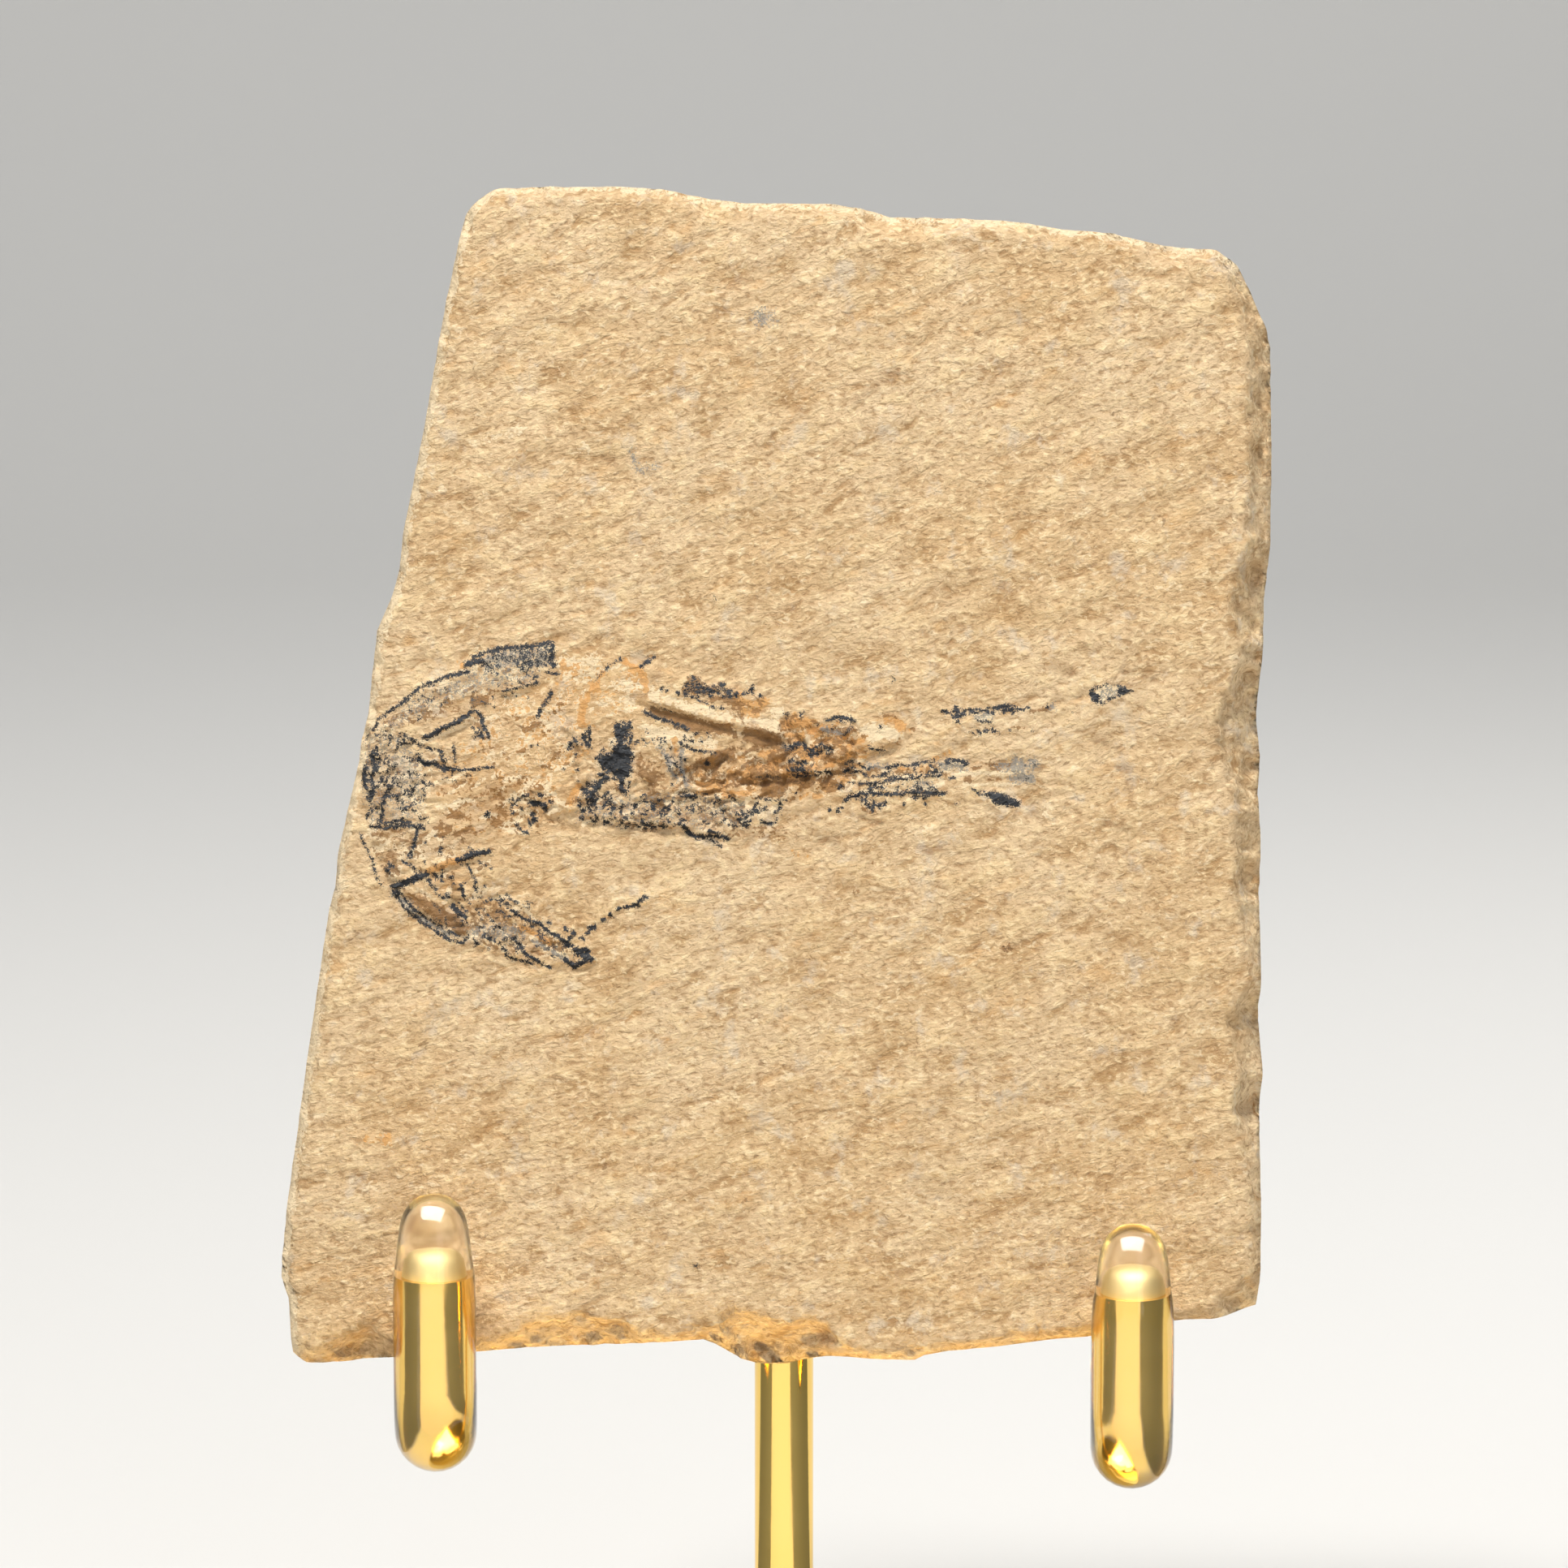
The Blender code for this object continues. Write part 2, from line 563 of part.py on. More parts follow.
def main():
    clear_scene()
    parts = new_collection("fossil shrimp plate")
    cutters = new_collection("cutters")
    limestone = new_material("limestone", (0.72, 0.5, 0.25), 0.9)
    brass = new_material("brass", (0.83, 0.6, 0.2), 0.15, metallic=1.0)
    clear_vinyl = new_material("clear vinyl", (0.93, 0.93, 0.9), 0.1)
    make_slab(parts, limestone)
    make_cradle(parts, brass)
    make_post(parts, brass)
    make_base(parts, brass)
    for side in PRONGS:
        make_sleeve(side, parts, cutters, clear_vinyl)


main()
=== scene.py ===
# %% [markdown]
# # A fossil shrimp plate on its brass stand
# A shrimp died on a muddy sea floor, the mud became limestone, and someone split the stone along
# the layer that holds the animal. The plate leans in a bent brass rod whose two prongs wear clear
# vinyl sleeves. This lesson dresses the fixed model of that object: first the camera and the
# light, then the stone, the shrimp drawn and pressed into it, and last the metal and the vinyl.
#
# The frame is loaded before anything else. Its solids say where every piece is, so a new piece is
# placed by them.

# %% Load the fixed frame
from math import cos, pi, radians, sin, sqrt, tan

import bmesh
import bpy
import numpy as np
from mathutils import Matrix, Vector, noise


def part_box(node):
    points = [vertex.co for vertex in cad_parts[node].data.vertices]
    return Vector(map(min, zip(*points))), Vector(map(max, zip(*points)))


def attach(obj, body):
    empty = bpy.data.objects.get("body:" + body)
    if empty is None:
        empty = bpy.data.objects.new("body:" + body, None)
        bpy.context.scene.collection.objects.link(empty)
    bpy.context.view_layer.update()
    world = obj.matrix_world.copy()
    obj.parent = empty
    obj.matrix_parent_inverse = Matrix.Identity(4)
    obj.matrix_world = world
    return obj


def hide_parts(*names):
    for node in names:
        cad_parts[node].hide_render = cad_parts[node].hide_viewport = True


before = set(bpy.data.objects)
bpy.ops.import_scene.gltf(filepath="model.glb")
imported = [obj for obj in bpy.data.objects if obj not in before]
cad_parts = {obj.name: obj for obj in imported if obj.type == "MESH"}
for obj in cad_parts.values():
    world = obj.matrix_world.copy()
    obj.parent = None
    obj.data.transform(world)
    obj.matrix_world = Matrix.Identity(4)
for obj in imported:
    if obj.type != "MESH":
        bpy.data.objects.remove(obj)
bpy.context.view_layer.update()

MM = 0.001
print("pieces in the frame:", ", ".join(sorted(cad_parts)))

# %% [markdown]
# ## The plate's own coordinates
# The face of the stone is nearly flat and leans back a little, so it is easiest to think of it as
# a sheet of paper: u runs right across it, v runs up it, and depth goes back into the stone, all
# in millimetres. One matrix carries such a point to its place in the world, which saves working
# out the lean again for every mark.

# %% A frame for the leaning face
PLATE_LEAN = radians(8)
FACE_Y = -8.583
FACE_HEIGHT = 90.0
PLATE_THICKNESS = 9.0

plate_to_world = (
    Matrix.Translation((0, FACE_Y * MM, FACE_HEIGHT * MM))
    @ Matrix.Rotation(-PLATE_LEAN, 4, "X")
    @ Matrix.Scale(MM, 4)
)
slab_low, slab_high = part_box("fossil_slab")
print("the face's centre is at", [round(c / MM, 1) for c in plate_to_world.translation])
print("the stone is", [round(c / MM, 1) for c in slab_high - slab_low], "mm")

# %% [markdown]
# ## The camera
# The photograph looks straight at the face, so the camera stands on the line that leaves the
# face's centre at a right angle. Its distance sets the perspective. The lens then follows from
# how many millimetres of the face fill the frame, which beats turning the lens by eye.

# %% Stand the camera in front of the face
PHOTO_WIDTH = 1932
PIXELS_PER_MM = 15.6
CAMERA_DISTANCE = 460.0
SENSOR_WIDTH = 36.0

camera = bpy.data.objects.new("camera", bpy.data.cameras.new("camera"))
bpy.context.scene.collection.objects.link(camera)
camera.location = plate_to_world @ Vector((0, -CAMERA_DISTANCE, 0))
camera.rotation_euler = (pi / 2 - PLATE_LEAN, 0, 0)
camera.data.sensor_width = SENSOR_WIDTH
camera.data.lens = SENSOR_WIDTH * CAMERA_DISTANCE * PIXELS_PER_MM / PHOTO_WIDTH
bpy.context.scene.camera = camera
print("lens", round(camera.data.lens, 1), "mm")

# %% [markdown]
# ## A few words for building materials
# A material is a small graph of nodes. Written out in full it hides its own idea, so short
# helpers come first. The two that matter most: one turns the 0 to 255 colour that an eye reads
# off a picture into the linear colour that the renderer wants, and one adds a node and fills or
# links its inputs. Most of the others add one node with it, one starts a material, and the last
# two make meshes and pieces.

# %% Node helpers
def srgb(red, green, blue):
    """A colour as read from a picture, in the renderer's linear values."""
    channels = [value / 255 for value in (red, green, blue)]
    linear = [c / 12.92 if c <= 0.04045 else ((c + 0.055) / 1.055) ** 2.4 for c in channels]
    return (*linear, 1.0)


def add_node(tree, kind, inputs=None, **settings):
    """A new shader node with its settings, and its inputs set to values or linked to sockets."""
    made = tree.nodes.new("ShaderNode" + kind)
    for name, value in settings.items():
        setattr(made, name, value)
    for name, value in (inputs or {}).items():
        if isinstance(value, bpy.types.NodeSocket):
            tree.links.new(value, made.inputs[name])
        else:
            made.inputs[name].default_value = value
    return made


def blend_colours(tree, mask, first, second):
    """The first colour where the mask is 0 and the second where it is 1."""
    return add_node(tree, "Mix", {0: mask, 6: first, 7: second}, data_type="RGBA").outputs[2]


def calculate(tree, operation, first, second=0.0):
    return add_node(tree, "Math", {0: first, 1: second}, operation=operation).outputs[0]


def remap(tree, value, low, high, start=0.0, end=1.0, how="LINEAR"):
    """The start value at low, the end value at high, and even or smooth between."""
    inputs = {"Value": value, "From Min": low, "From Max": high, "To Min": start, "To Max": end}
    return add_node(tree, "MapRange", inputs, interpolation_type=how).outputs["Result"]


def soft_step(tree, value, low, high):
    """0 below low, 1 above high, and smooth between."""
    return remap(tree, value, low, high, how="SMOOTHSTEP")


def grain(tree, where, size, detail=2.0, roughness=0.5):
    """Noise from 0 to 1 with lumps of about this size, in the units of the coordinates."""
    inputs = {"Vector": where, "Scale": 1 / size, "Detail": detail, "Roughness": roughness}
    return add_node(tree, "TexNoise", inputs).outputs["Fac"]


def start_material(name, looks):
    """A material, its node tree and its one Principled shader with these inputs set."""
    material = bpy.data.materials.new(name)
    material.use_nodes = True
    tree = material.node_tree
    shader = tree.nodes["Principled BSDF"]
    for socket, value in looks.items():
        shader.inputs[socket].default_value = value
    return material, tree, shader


def roughen(tree, shader, height, strength, depth):
    """A bump on the surface from this height, this many millimetres deep."""
    bump = add_node(tree, "Bump", {"Height": height, "Strength": strength, "Distance": depth * MM})
    tree.links.new(bump.outputs["Normal"], shader.inputs["Normal"])


def as_mesh(shape, name):
    """Write an edited shape into a mesh of its own and let the shape go."""
    mesh = bpy.data.meshes.new(name)
    shape.to_mesh(mesh)
    shape.free()
    return mesh


def put_in_scene(name, mesh, material):
    piece = bpy.data.objects.new(name, mesh)
    bpy.context.scene.collection.objects.link(piece)
    mesh.materials.clear()
    mesh.materials.append(material)
    return piece


print("node helpers ready")

# %% [markdown]
# ## Floor and backdrop
# The stand rests on a plain pale sheet that curves up into a wall far behind it. A flat floor
# alone would show its horizon near the top of the frame. The sheet is one profile line pushed
# sideways, so the bend between floor and wall has no seam.

# %% Bend a sheet of pale paper
SWEEP_FRONT = -1.4
SWEEP_BACK = 1.0
SWEEP_BEND = 0.5
SWEEP_TOP = 1.6
SWEEP_WIDTH = 3.2
SWEEP_STEPS = 12


def make_sweep():
    profile = [(SWEEP_FRONT, 0.0)]
    for step in range(SWEEP_STEPS + 1):
        angle = pi / 2 * step / SWEEP_STEPS
        profile.append((SWEEP_BACK + SWEEP_BEND * sin(angle), SWEEP_BEND * (1 - cos(angle))))
    profile.append((SWEEP_BACK + SWEEP_BEND, SWEEP_TOP))
    half = SWEEP_WIDTH / 2
    sheet = bmesh.new()
    points = [sheet.verts.new((-half, y, z)) for y, z in profile]
    edges = [sheet.edges.new(pair) for pair in zip(points, points[1:])]
    pushed = bmesh.ops.extrude_edge_only(sheet, edges=edges)["geom"]
    moved = [item for item in pushed if isinstance(item, bmesh.types.BMVert)]
    bmesh.ops.translate(sheet, verts=moved, vec=(SWEEP_WIDTH, 0, 0))
    for face in sheet.faces:
        face.smooth = True
    return as_mesh(sheet, "sweep")


paper, _, _ = start_material("pale paper", {"Roughness": 0.9, "Base Color": srgb(214, 212, 208)})
sweep = put_in_scene("sweep", make_sweep(), paper)
print("floor and backdrop are one sheet of", len(sweep.data.polygons), "faces")

# %% [markdown]
# ## Light
# Split stone only shows its grain when the light rakes across it, so the main light hangs high in
# front and a little to the left, and a wide weak one to the right fills the hollows and the broken
# edge on that side. A small one behind lights the rims, and a fourth is for the backdrop alone,
# which would fall dark so far away.

# %% Hang the lamps
bpy.context.scene.view_settings.view_transform = "Standard"

LAMPS = {
    "key": {"place": (-0.14, -0.3, 0.7), "size": 0.16, "watts": 4.9, "colour": (1.0, 0.98, 0.95)},
    "fill": {"place": (0.55, -0.8, 0.42), "size": 0.9, "watts": 2.9, "colour": (1.0, 0.99, 0.98)},
    "rim": {"place": (0.35, 0.35, 0.55), "size": 0.35, "watts": 1.6, "colour": (1.0, 1.0, 1.0)},
    "backdrop": {"place": (0.0, 0.55, 1.5), "size": 0.7, "watts": 9.0, "colour": (1.0, 1.0, 1.0)},
}
BACKDROP_AIM = Vector((0.0, 1.5, 0.7))
for name, lamp in LAMPS.items():
    light = bpy.data.lights.new(name, "AREA")
    light.size = lamp["size"]
    light.energy = lamp["watts"]
    light.color = lamp["colour"]
    thing = bpy.data.objects.new(name, light)
    thing.location = lamp["place"]
    aim = BACKDROP_AIM if name == "backdrop" else plate_to_world.translation
    thing.rotation_euler = (aim - thing.location).to_track_quat("-Z", "Y").to_euler()
    bpy.context.scene.collection.objects.link(thing)

world = bpy.data.worlds.new("studio")
world.use_nodes = True
sky = world.node_tree.nodes["Background"].inputs
sky["Color"].default_value = (0.9, 0.95, 1.0, 1.0)
sky["Strength"].default_value = 0.22
bpy.context.scene.world = world
print("lamps:", ", ".join(LAMPS))

# %% [markdown]
# ## Something for the brass and the vinyl to mirror
# Polished metal has no look of its own, only what it mirrors. The rods look down at the table in
# front of them, so a bright wedge lies there between two dark cards and becomes the bright strip
# down each rod with a dark band on either side. Two upright cards darken the rods' flanks, and a
# white window overhead makes the broad highlight on each clear tip. The floor has to stay plain,
# so all of them are hidden from the camera and from the soft light, and only mirrors show them.

# %% Lay the cards and hang the window
CARD_HEIGHT = 0.0008
CARD_FAR, CARD_BACK, CARD_REACH = -0.6, 0.05, 0.9

# The two sides of the bright wedge, from the rods out over the table
WEDGE_LEFT = ((-0.06, -0.036), (-0.12, -0.1), (-0.21, -0.2), (-0.55, CARD_FAR))
WEDGE_RIGHT = ((0.05, -0.036), (0.07, -0.1), (0.09, -0.2), (0.24, CARD_FAR))

bright_looks = {
    "Roughness": 0.9, "Base Color": srgb(230, 216, 220),
    "Emission Color": srgb(255, 250, 240), "Emission Strength": 0.04,
}
window_looks = {"Emission Color": (1.0, 1.0, 1.0, 1.0), "Emission Strength": 20.0}
bright_card, _, _ = start_material("bright card", bright_looks)
dark_card, _, _ = start_material("dark card", {"Roughness": 0.9, "Base Color": srgb(64, 68, 74)})
window_white, _, _ = start_material("window white", window_looks)

# Each card on the table: its corners and its material
CARDS = {
    "light_card": ((WEDGE_LEFT[0], *WEDGE_RIGHT, *WEDGE_LEFT[:0:-1]), bright_card),
    "left_card": (
        (*WEDGE_LEFT, (-CARD_REACH, CARD_FAR), (-CARD_REACH, CARD_BACK), (WEDGE_LEFT[0][0], CARD_BACK)),
        dark_card,
    ),
    "right_card": (
        (
            WEDGE_RIGHT[0], (WEDGE_RIGHT[0][0], CARD_BACK), (CARD_REACH, CARD_BACK),
            (CARD_REACH, CARD_FAR), *WEDGE_RIGHT[:0:-1],
        ),
        dark_card,
    ),
}


def lay_card(name, corners, material):
    """A flat card that only mirrors show."""
    sheet = bmesh.new()
    sheet.faces.new([sheet.verts.new(corner) for corner in corners])
    card = put_in_scene(name, as_mesh(sheet, name), material)
    card.visible_camera = card.visible_diffuse = card.visible_shadow = False
    return card


for name, (corners, material) in CARDS.items():
    lay_card(name, [(x, y, CARD_HEIGHT) for x, y in corners], material)

# The upright cards: where each stands to the side, from front to back, and how high
UPRIGHTS = {"left_upright": -0.28, "right_upright": 0.28}
UPRIGHT_FRONT, UPRIGHT_BACK, UPRIGHT_TOP = -0.5, 0.45, 0.3
for name, x in UPRIGHTS.items():
    low = [(x, UPRIGHT_FRONT, CARD_HEIGHT), (x, UPRIGHT_BACK, CARD_HEIGHT)]
    high = [(x, UPRIGHT_BACK, UPRIGHT_TOP), (x, UPRIGHT_FRONT, UPRIGHT_TOP)]
    lay_card(name, low + high, dark_card)

# The window: a card one metre square, stretched and turned to face the plate
WINDOW_PLACE = Vector((-0.05, -0.36, 0.72))
WINDOW_SIZE = (1.1, 0.75)
square = [(-0.5, -0.5, 0), (0.5, -0.5, 0), (0.5, 0.5, 0), (-0.5, 0.5, 0)]
window = lay_card("window", square, window_white)
window.location = WINDOW_PLACE
window.scale = (*WINDOW_SIZE, 1.0)
to_plate = plate_to_world.translation - WINDOW_PLACE
window.rotation_euler = to_plate.to_track_quat("-Z", "Y").to_euler()
print(len(CARDS), "cards on the table,", len(UPRIGHTS), "upright, and one window")

# %% [markdown]
# ## The outline of the stone
# The plate was broken out of its bed, so no side is straight. Four lines of points follow the
# four broken edges where the stone is widest, and a fifth follows the rim where the flat face
# stops and the break begins. Between the two lies the rough bevel that catches the light. Chips
# are small bites out of the right edge.

# %% Points round the stone
LEFT_EDGE = (
    (-38.9, -45.0), (-39.1, -42.3), (-39.2, -40.7), (-39.8, -39.0), (-39.7, -37.1), (-39.2, -32.3),
    (-38.5, -27.4), (-37.7, -21.4), (-36.6, -14.0), (-36.0, -9.9), (-35.5, -8.1), (-35.3, -5.4),
    (-34.4, -1.6), (-33.6, 1.8), (-33.4, 3.6), (-32.9, 5.4), (-32.6, 8.5), (-32.2, 12.1),
    (-31.0, 14.9), (-30.4, 17.1), (-30.2, 19.6), (-29.4, 23.5), (-28.4, 28.6), (-27.6, 33.4),
    (-26.7, 38.4), (-25.7, 43.0), (-25.2, 45.1), (-24.1, 46.4),
)
TOP_EDGE = (
    (-24.1, 46.4), (-22.8, 47.2), (-19.1, 47.3), (-14.0, 47.35), (-9.7, 47.1), (-6.5, 46.5),
    (-3.6, 46.1), (0.0, 46.0), (4.0, 45.95), (7.0, 45.4), (8.4, 45.0), (14.0, 44.8), (18.0, 44.6),
    (22.0, 43.95), (26.0, 43.6), (27.5, 43.25), (30.3, 42.7), (34.3, 42.3), (35.9, 41.1),
)
RIGHT_EDGE = (
    (37.5, -41.4), (37.7, -39.1), (37.8, -34.2), (37.7, -27.8), (38.0, -22.5), (37.7, -18.8),
    (37.8, -13.9), (37.7, -9.0), (37.9, -4.1), (37.6, -0.9), (37.9, 1.3), (37.6, 5.7), (38.0, 10.6),
    (38.3, 16.2), (38.6, 18.9), (38.7, 26.1), (38.6, 34.7), (38.3, 36.0), (36.8, 39.4), (35.9, 41.1),
)
BOTTOM_EDGE = (
    (-38.9, -45.0), (-37.8, -45.85), (-34.2, -45.8), (-31.0, -45.4), (-24.1, -44.9), (-20.1, -44.7),
    (-15.2, -44.6), (-10.3, -44.2), (-7.8, -44.1), (-6.1, -44.0), (-5.1, -44.2), (-4.4, -44.8),
    (-3.6, -45.6), (-2.6, -46.0), (-0.9, -46.1), (0.5, -46.0), (1.8, -45.6), (4.1, -45.3),
    (7.1, -45.5), (10.3, -45.6), (11.5, -45.0), (16.9, -44.5), (21.8, -43.8), (24.3, -43.6),
    (31.1, -42.4), (34.1, -42.3), (37.5, -41.4),
)
OUTLINE = LEFT_EDGE[::-1][:-1] + BOTTOM_EDGE[:-1] + RIGHT_EDGE[:-1] + TOP_EDGE[::-1][:-1]

FACE_RIM = (
    (-38.4, -44.0), (-38.5, -41.0), (-39.1, -38.6), (-38.9, -35.0), (-38.0, -28.0), (-36.9, -21.0),
    (-35.8, -13.0), (-34.9, -7.5), (-34.1, -2.5), (-33.0, 2.5), (-32.2, 6.5), (-31.6, 12.3),
    (-30.2, 15.5), (-29.6, 19.5), (-28.2, 26.5), (-27.2, 32.0), (-26.1, 38.0), (-25.0, 43.3),
    (-24.0, 45.4), (-22.6, 46.2), (-20.9, 45.9), (-17.4, 46.4), (-11.7, 46.3), (-7.5, 45.6),
    (-6.3, 44.7), (-3.5, 44.5), (0.0, 44.9), (3.7, 44.9), (5.5, 44.3), (7.0, 43.4), (11.0, 43.2),
    (14.5, 43.6), (17.5, 43.6), (21.5, 42.9), (24.5, 43.1), (26.6, 42.5), (28.4, 41.5), (30.0, 40.9),
    (32.5, 40.9), (34.4, 41.1), (35.6, 38.6), (36.6, 35.5), (36.7, 31.5), (36.8, 25.0), (36.6, 19.0),
    (35.8, 16.2), (35.2, 13.2), (36.2, 10.6), (35.2, 7.4), (34.4, 5.8), (34.4, 3.5), (34.8, 1.4),
    (35.7, -2.0), (35.6, -6.3), (35.5, -9.0), (36.2, -11.4), (37.1, -15.3), (36.2, -17.1),
    (34.8, -18.5), (35.4, -20.3), (36.2, -23.7), (35.4, -25.4), (36.4, -28.5), (36.9, -34.0),
    (36.8, -38.8), (34.6, -40.6), (34.0, -41.7), (30.9, -42.0), (23.0, -43.0), (14.4, -44.0),
    (10.8, -44.6), (7.8, -44.9), (4.6, -44.5), (4.0, -43.3), (3.0, -42.4), (-0.4, -42.4),
    (-3.1, -41.7), (-5.3, -42.6), (-9.5, -43.4), (-11.2, -43.3), (-12.7, -42.3), (-14.2, -42.3),
    (-15.9, -41.6), (-18.1, -42.1), (-20.6, -42.7), (-22.5, -43.9), (-26.0, -44.4), (-30.0, -44.5),
    (-31.0, -43.9), (-32.9, -42.5), (-35.7, -44.2), (-37.4, -44.9),
)

# Each chip: its middle, its half sizes across and up, and how deep it is bitten
CHIPS = (
    (37.2, -17.7, 1.3, 1.6, 1.3), (37.0, -25.2, 1.6, 2.3, 1.5), (37.4, 30.8, 0.7, 1.1, 0.8),
    (37.5, 26.0, 0.6, 1.3, 0.8), (37.2, 16.4, 0.9, 1.5, 1.0), (36.8, 7.7, 1.2, 2.2, 1.4),
    (37.0, 1.2, 0.9, 1.1, 0.9), (36.9, -7.3, 0.7, 1.4, 0.9),
)
print("the outline has", len(OUTLINE), "points and the face's rim", len(FACE_RIM))

# %% [markdown]
# ## Measuring on the face
# Every ledge and every mark below is a line or an outline on that sheet of paper. Three questions
# are asked of thousands of points at once: how far is a point from a line, is it inside an
# outline, and what does a smooth noise say there. Asking them with arrays of numbers keeps the
# whole stone to a few seconds. Two more functions use the noise: one adds several up into a
# rolling surface, and one nudges points about.

# %% Distance, inside and noise
def to_line(points, line, closed=False):
    """The distance of each point to a line of points, and which side it is on: 1 is its left."""
    corners = np.array(line, float)
    ends = np.roll(corners, -1, axis=0) if closed else corners[1:]
    starts = corners if closed else corners[:-1]
    best = np.full(len(points), np.inf)
    side = np.ones(len(points))
    for start, end in zip(starts, ends):
        run = end - start
        offset = points - start
        along = np.clip(offset @ run / (run @ run), 0.0, 1.0)
        distance = np.linalg.norm(offset - along[:, None] * run, axis=1)
        nearer = distance < best
        best[nearer] = distance[nearer]
        cross = run[0] * offset[:, 1] - run[1] * offset[:, 0]
        side[nearer] = np.where(cross[nearer] >= 0, 1.0, -1.0)
    return best, side


def is_inside(points, outline):
    """Whether each point lies in a closed outline."""
    inside = np.zeros(len(points), bool)
    corners = np.array(outline, float)
    for (x0, y0), (x1, y1) in zip(corners, np.roll(corners, -1, axis=0)):
        if y0 == y1:
            continue
        spans = (points[:, 1] < y0) != (points[:, 1] < y1)
        reach = (x1 - x0) * (points[:, 1] - y0) / (y1 - y0) + x0
        inside ^= spans & (points[:, 0] < reach)
    return inside


def soft_area(points, outline, border):
    """1 inside an outline, 0 outside, with a smooth change over the border's width."""
    distance, _ = to_line(points, outline, closed=True)
    signed = np.where(is_inside(points, outline), distance, -distance)
    share = np.clip(0.5 + signed / border, 0.0, 1.0)
    return share * share * (3 - 2 * share)


def lumps(points, size, seed=0.0):
    """Smooth noise between about -1 and 1 whose lumps are the given size."""
    return np.array([noise.noise(Vector((u / size, v / size, seed))) for u, v in points])


def rolling(points, noises):
    """A surface of several noises, each given as its height, the size of its lumps and its seed."""
    return sum(height * lumps(points, size, seed) for height, size, seed in noises)


def nudged(points, reach, size, seed):
    """The points moved about by up to this reach, neighbours alike."""
    return points + reach * np.stack([lumps(points, size, seed), lumps(points, size, seed + 1)], axis=1)


centre_to_edge, _ = to_line(np.zeros((1, 2)), LEFT_EDGE)
print("from the middle of the face to its left edge:", round(float(centre_to_edge[0]), 1), "mm")

# %% [markdown]
# ## A cage of faces
# The stone could be sculpted or displaced by a picture, but a picture would fix its detail to
# pixels. Here it is a grid whose points are moved by formulas. The grid starts as a plain square,
# made three times as fine where the animal lies, and given walls by pushing its rim back row by
# row. A coarser grid closes the back, because nobody reads that side as closely.

# %% Build the cage
FACE_PITCH = 0.43
BACK_PITCH = 1.2
WALL_ROWS = 8
FOSSIL_ZONE = (
    (-34.6, -4.0), (-33.8, 5.0), (-30.5, 9.0), (-24.5, 12.2), (-17.0, 12.4), (-8.0, 10.4),
    (2.0, 8.0), (12.0, 7.2), (23.0, 8.2), (28.3, 9.0), (28.3, 6.0), (22.5, 4.4), (22.3, -2.6),
    (12.0, -3.6), (4.0, -3.2), (-4.0, -5.8), (-16.0, -5.4), (-21.5, -5.6), (-21.0, -8.5),
    (-16.5, -10.4), (-12.6, -8.4), (-10.2, -8.2), (-10.4, -9.8), (-14.4, -12.2), (-14.4, -15.2),
    (-22.0, -15.3), (-27.0, -13.6), (-31.6, -10.4),
)


def along_edge(edge, shares):
    """Points at these shares of an edge's length."""
    corners = np.array(edge, float)
    steps = np.linalg.norm(np.diff(corners, axis=0), axis=1)
    reached = np.concatenate([[0.0], np.cumsum(steps)]) / steps.sum()
    return np.stack([np.interp(shares, reached, corners[:, axis]) for axis in (0, 1)], axis=1)


def spread_over_plate(square):
    """Carry points of a square from -1 to 1 onto the plate, its sides onto the four edges."""
    s, t = (square[:, 0] + 1) / 2, (square[:, 1] + 1) / 2
    left, right = along_edge(LEFT_EDGE, t), along_edge(RIGHT_EDGE, t)
    bottom, top = along_edge(BOTTOM_EDGE, s), along_edge(TOP_EDGE, s)
    s, t = s[:, None], t[:, None]
    corners = (
        (1 - s) * (1 - t) * np.array(LEFT_EDGE[0])
        + s * (1 - t) * np.array(RIGHT_EDGE[0])
        + (1 - s) * t * np.array(LEFT_EDGE[-1])
        + s * t * np.array(RIGHT_EDGE[-1])
    )
    return (1 - s) * left + s * right + (1 - t) * bottom + t * top - corners


def grid_counts(pitch):
    width = RIGHT_EDGE[0][0] - LEFT_EDGE[0][0]
    height = LEFT_EDGE[-1][1] - LEFT_EDGE[0][1]
    return {"x_segments": round(width / pitch), "y_segments": round(height / pitch), "size": 1.0}


def only(items, kind):
    return [item for item in items if isinstance(item, kind)]


def plate_cage():
    cage = bmesh.new()
    bmesh.ops.create_grid(cage, **grid_counts(FACE_PITCH))
    cage.verts.index_update()
    square = np.array([vert.co[:2] for vert in cage.verts])
    near = is_inside(spread_over_plate(square), FOSSIL_ZONE)
    fine = [edge for edge in cage.edges if all(near[vert.index] for vert in edge.verts)]
    bmesh.ops.subdivide_edges(cage, edges=fine, cuts=2, use_grid_fill=True)
    for _ in range(WALL_ROWS - 1):
        rim = [edge for edge in cage.edges if edge.is_boundary]
        pushed = bmesh.ops.extrude_edge_only(cage, edges=rim)["geom"]
        moved = only(pushed, bmesh.types.BMVert)
        bmesh.ops.translate(cage, verts=moved, vec=(0, 0, -1 / WALL_ROWS))
    bmesh.ops.create_grid(
        cage, **grid_counts(BACK_PITCH), matrix=Matrix.Translation((0, 0, -1))
    )
    rims = [edge for edge in cage.edges if edge.is_boundary]
    bmesh.ops.bridge_loops(cage, edges=rims)
    bmesh.ops.recalc_face_normals(cage, faces=cage.faces[:])
    bmesh.ops.triangulate(cage, faces=cage.faces[:])
    return as_mesh(cage, "fossil_stone")


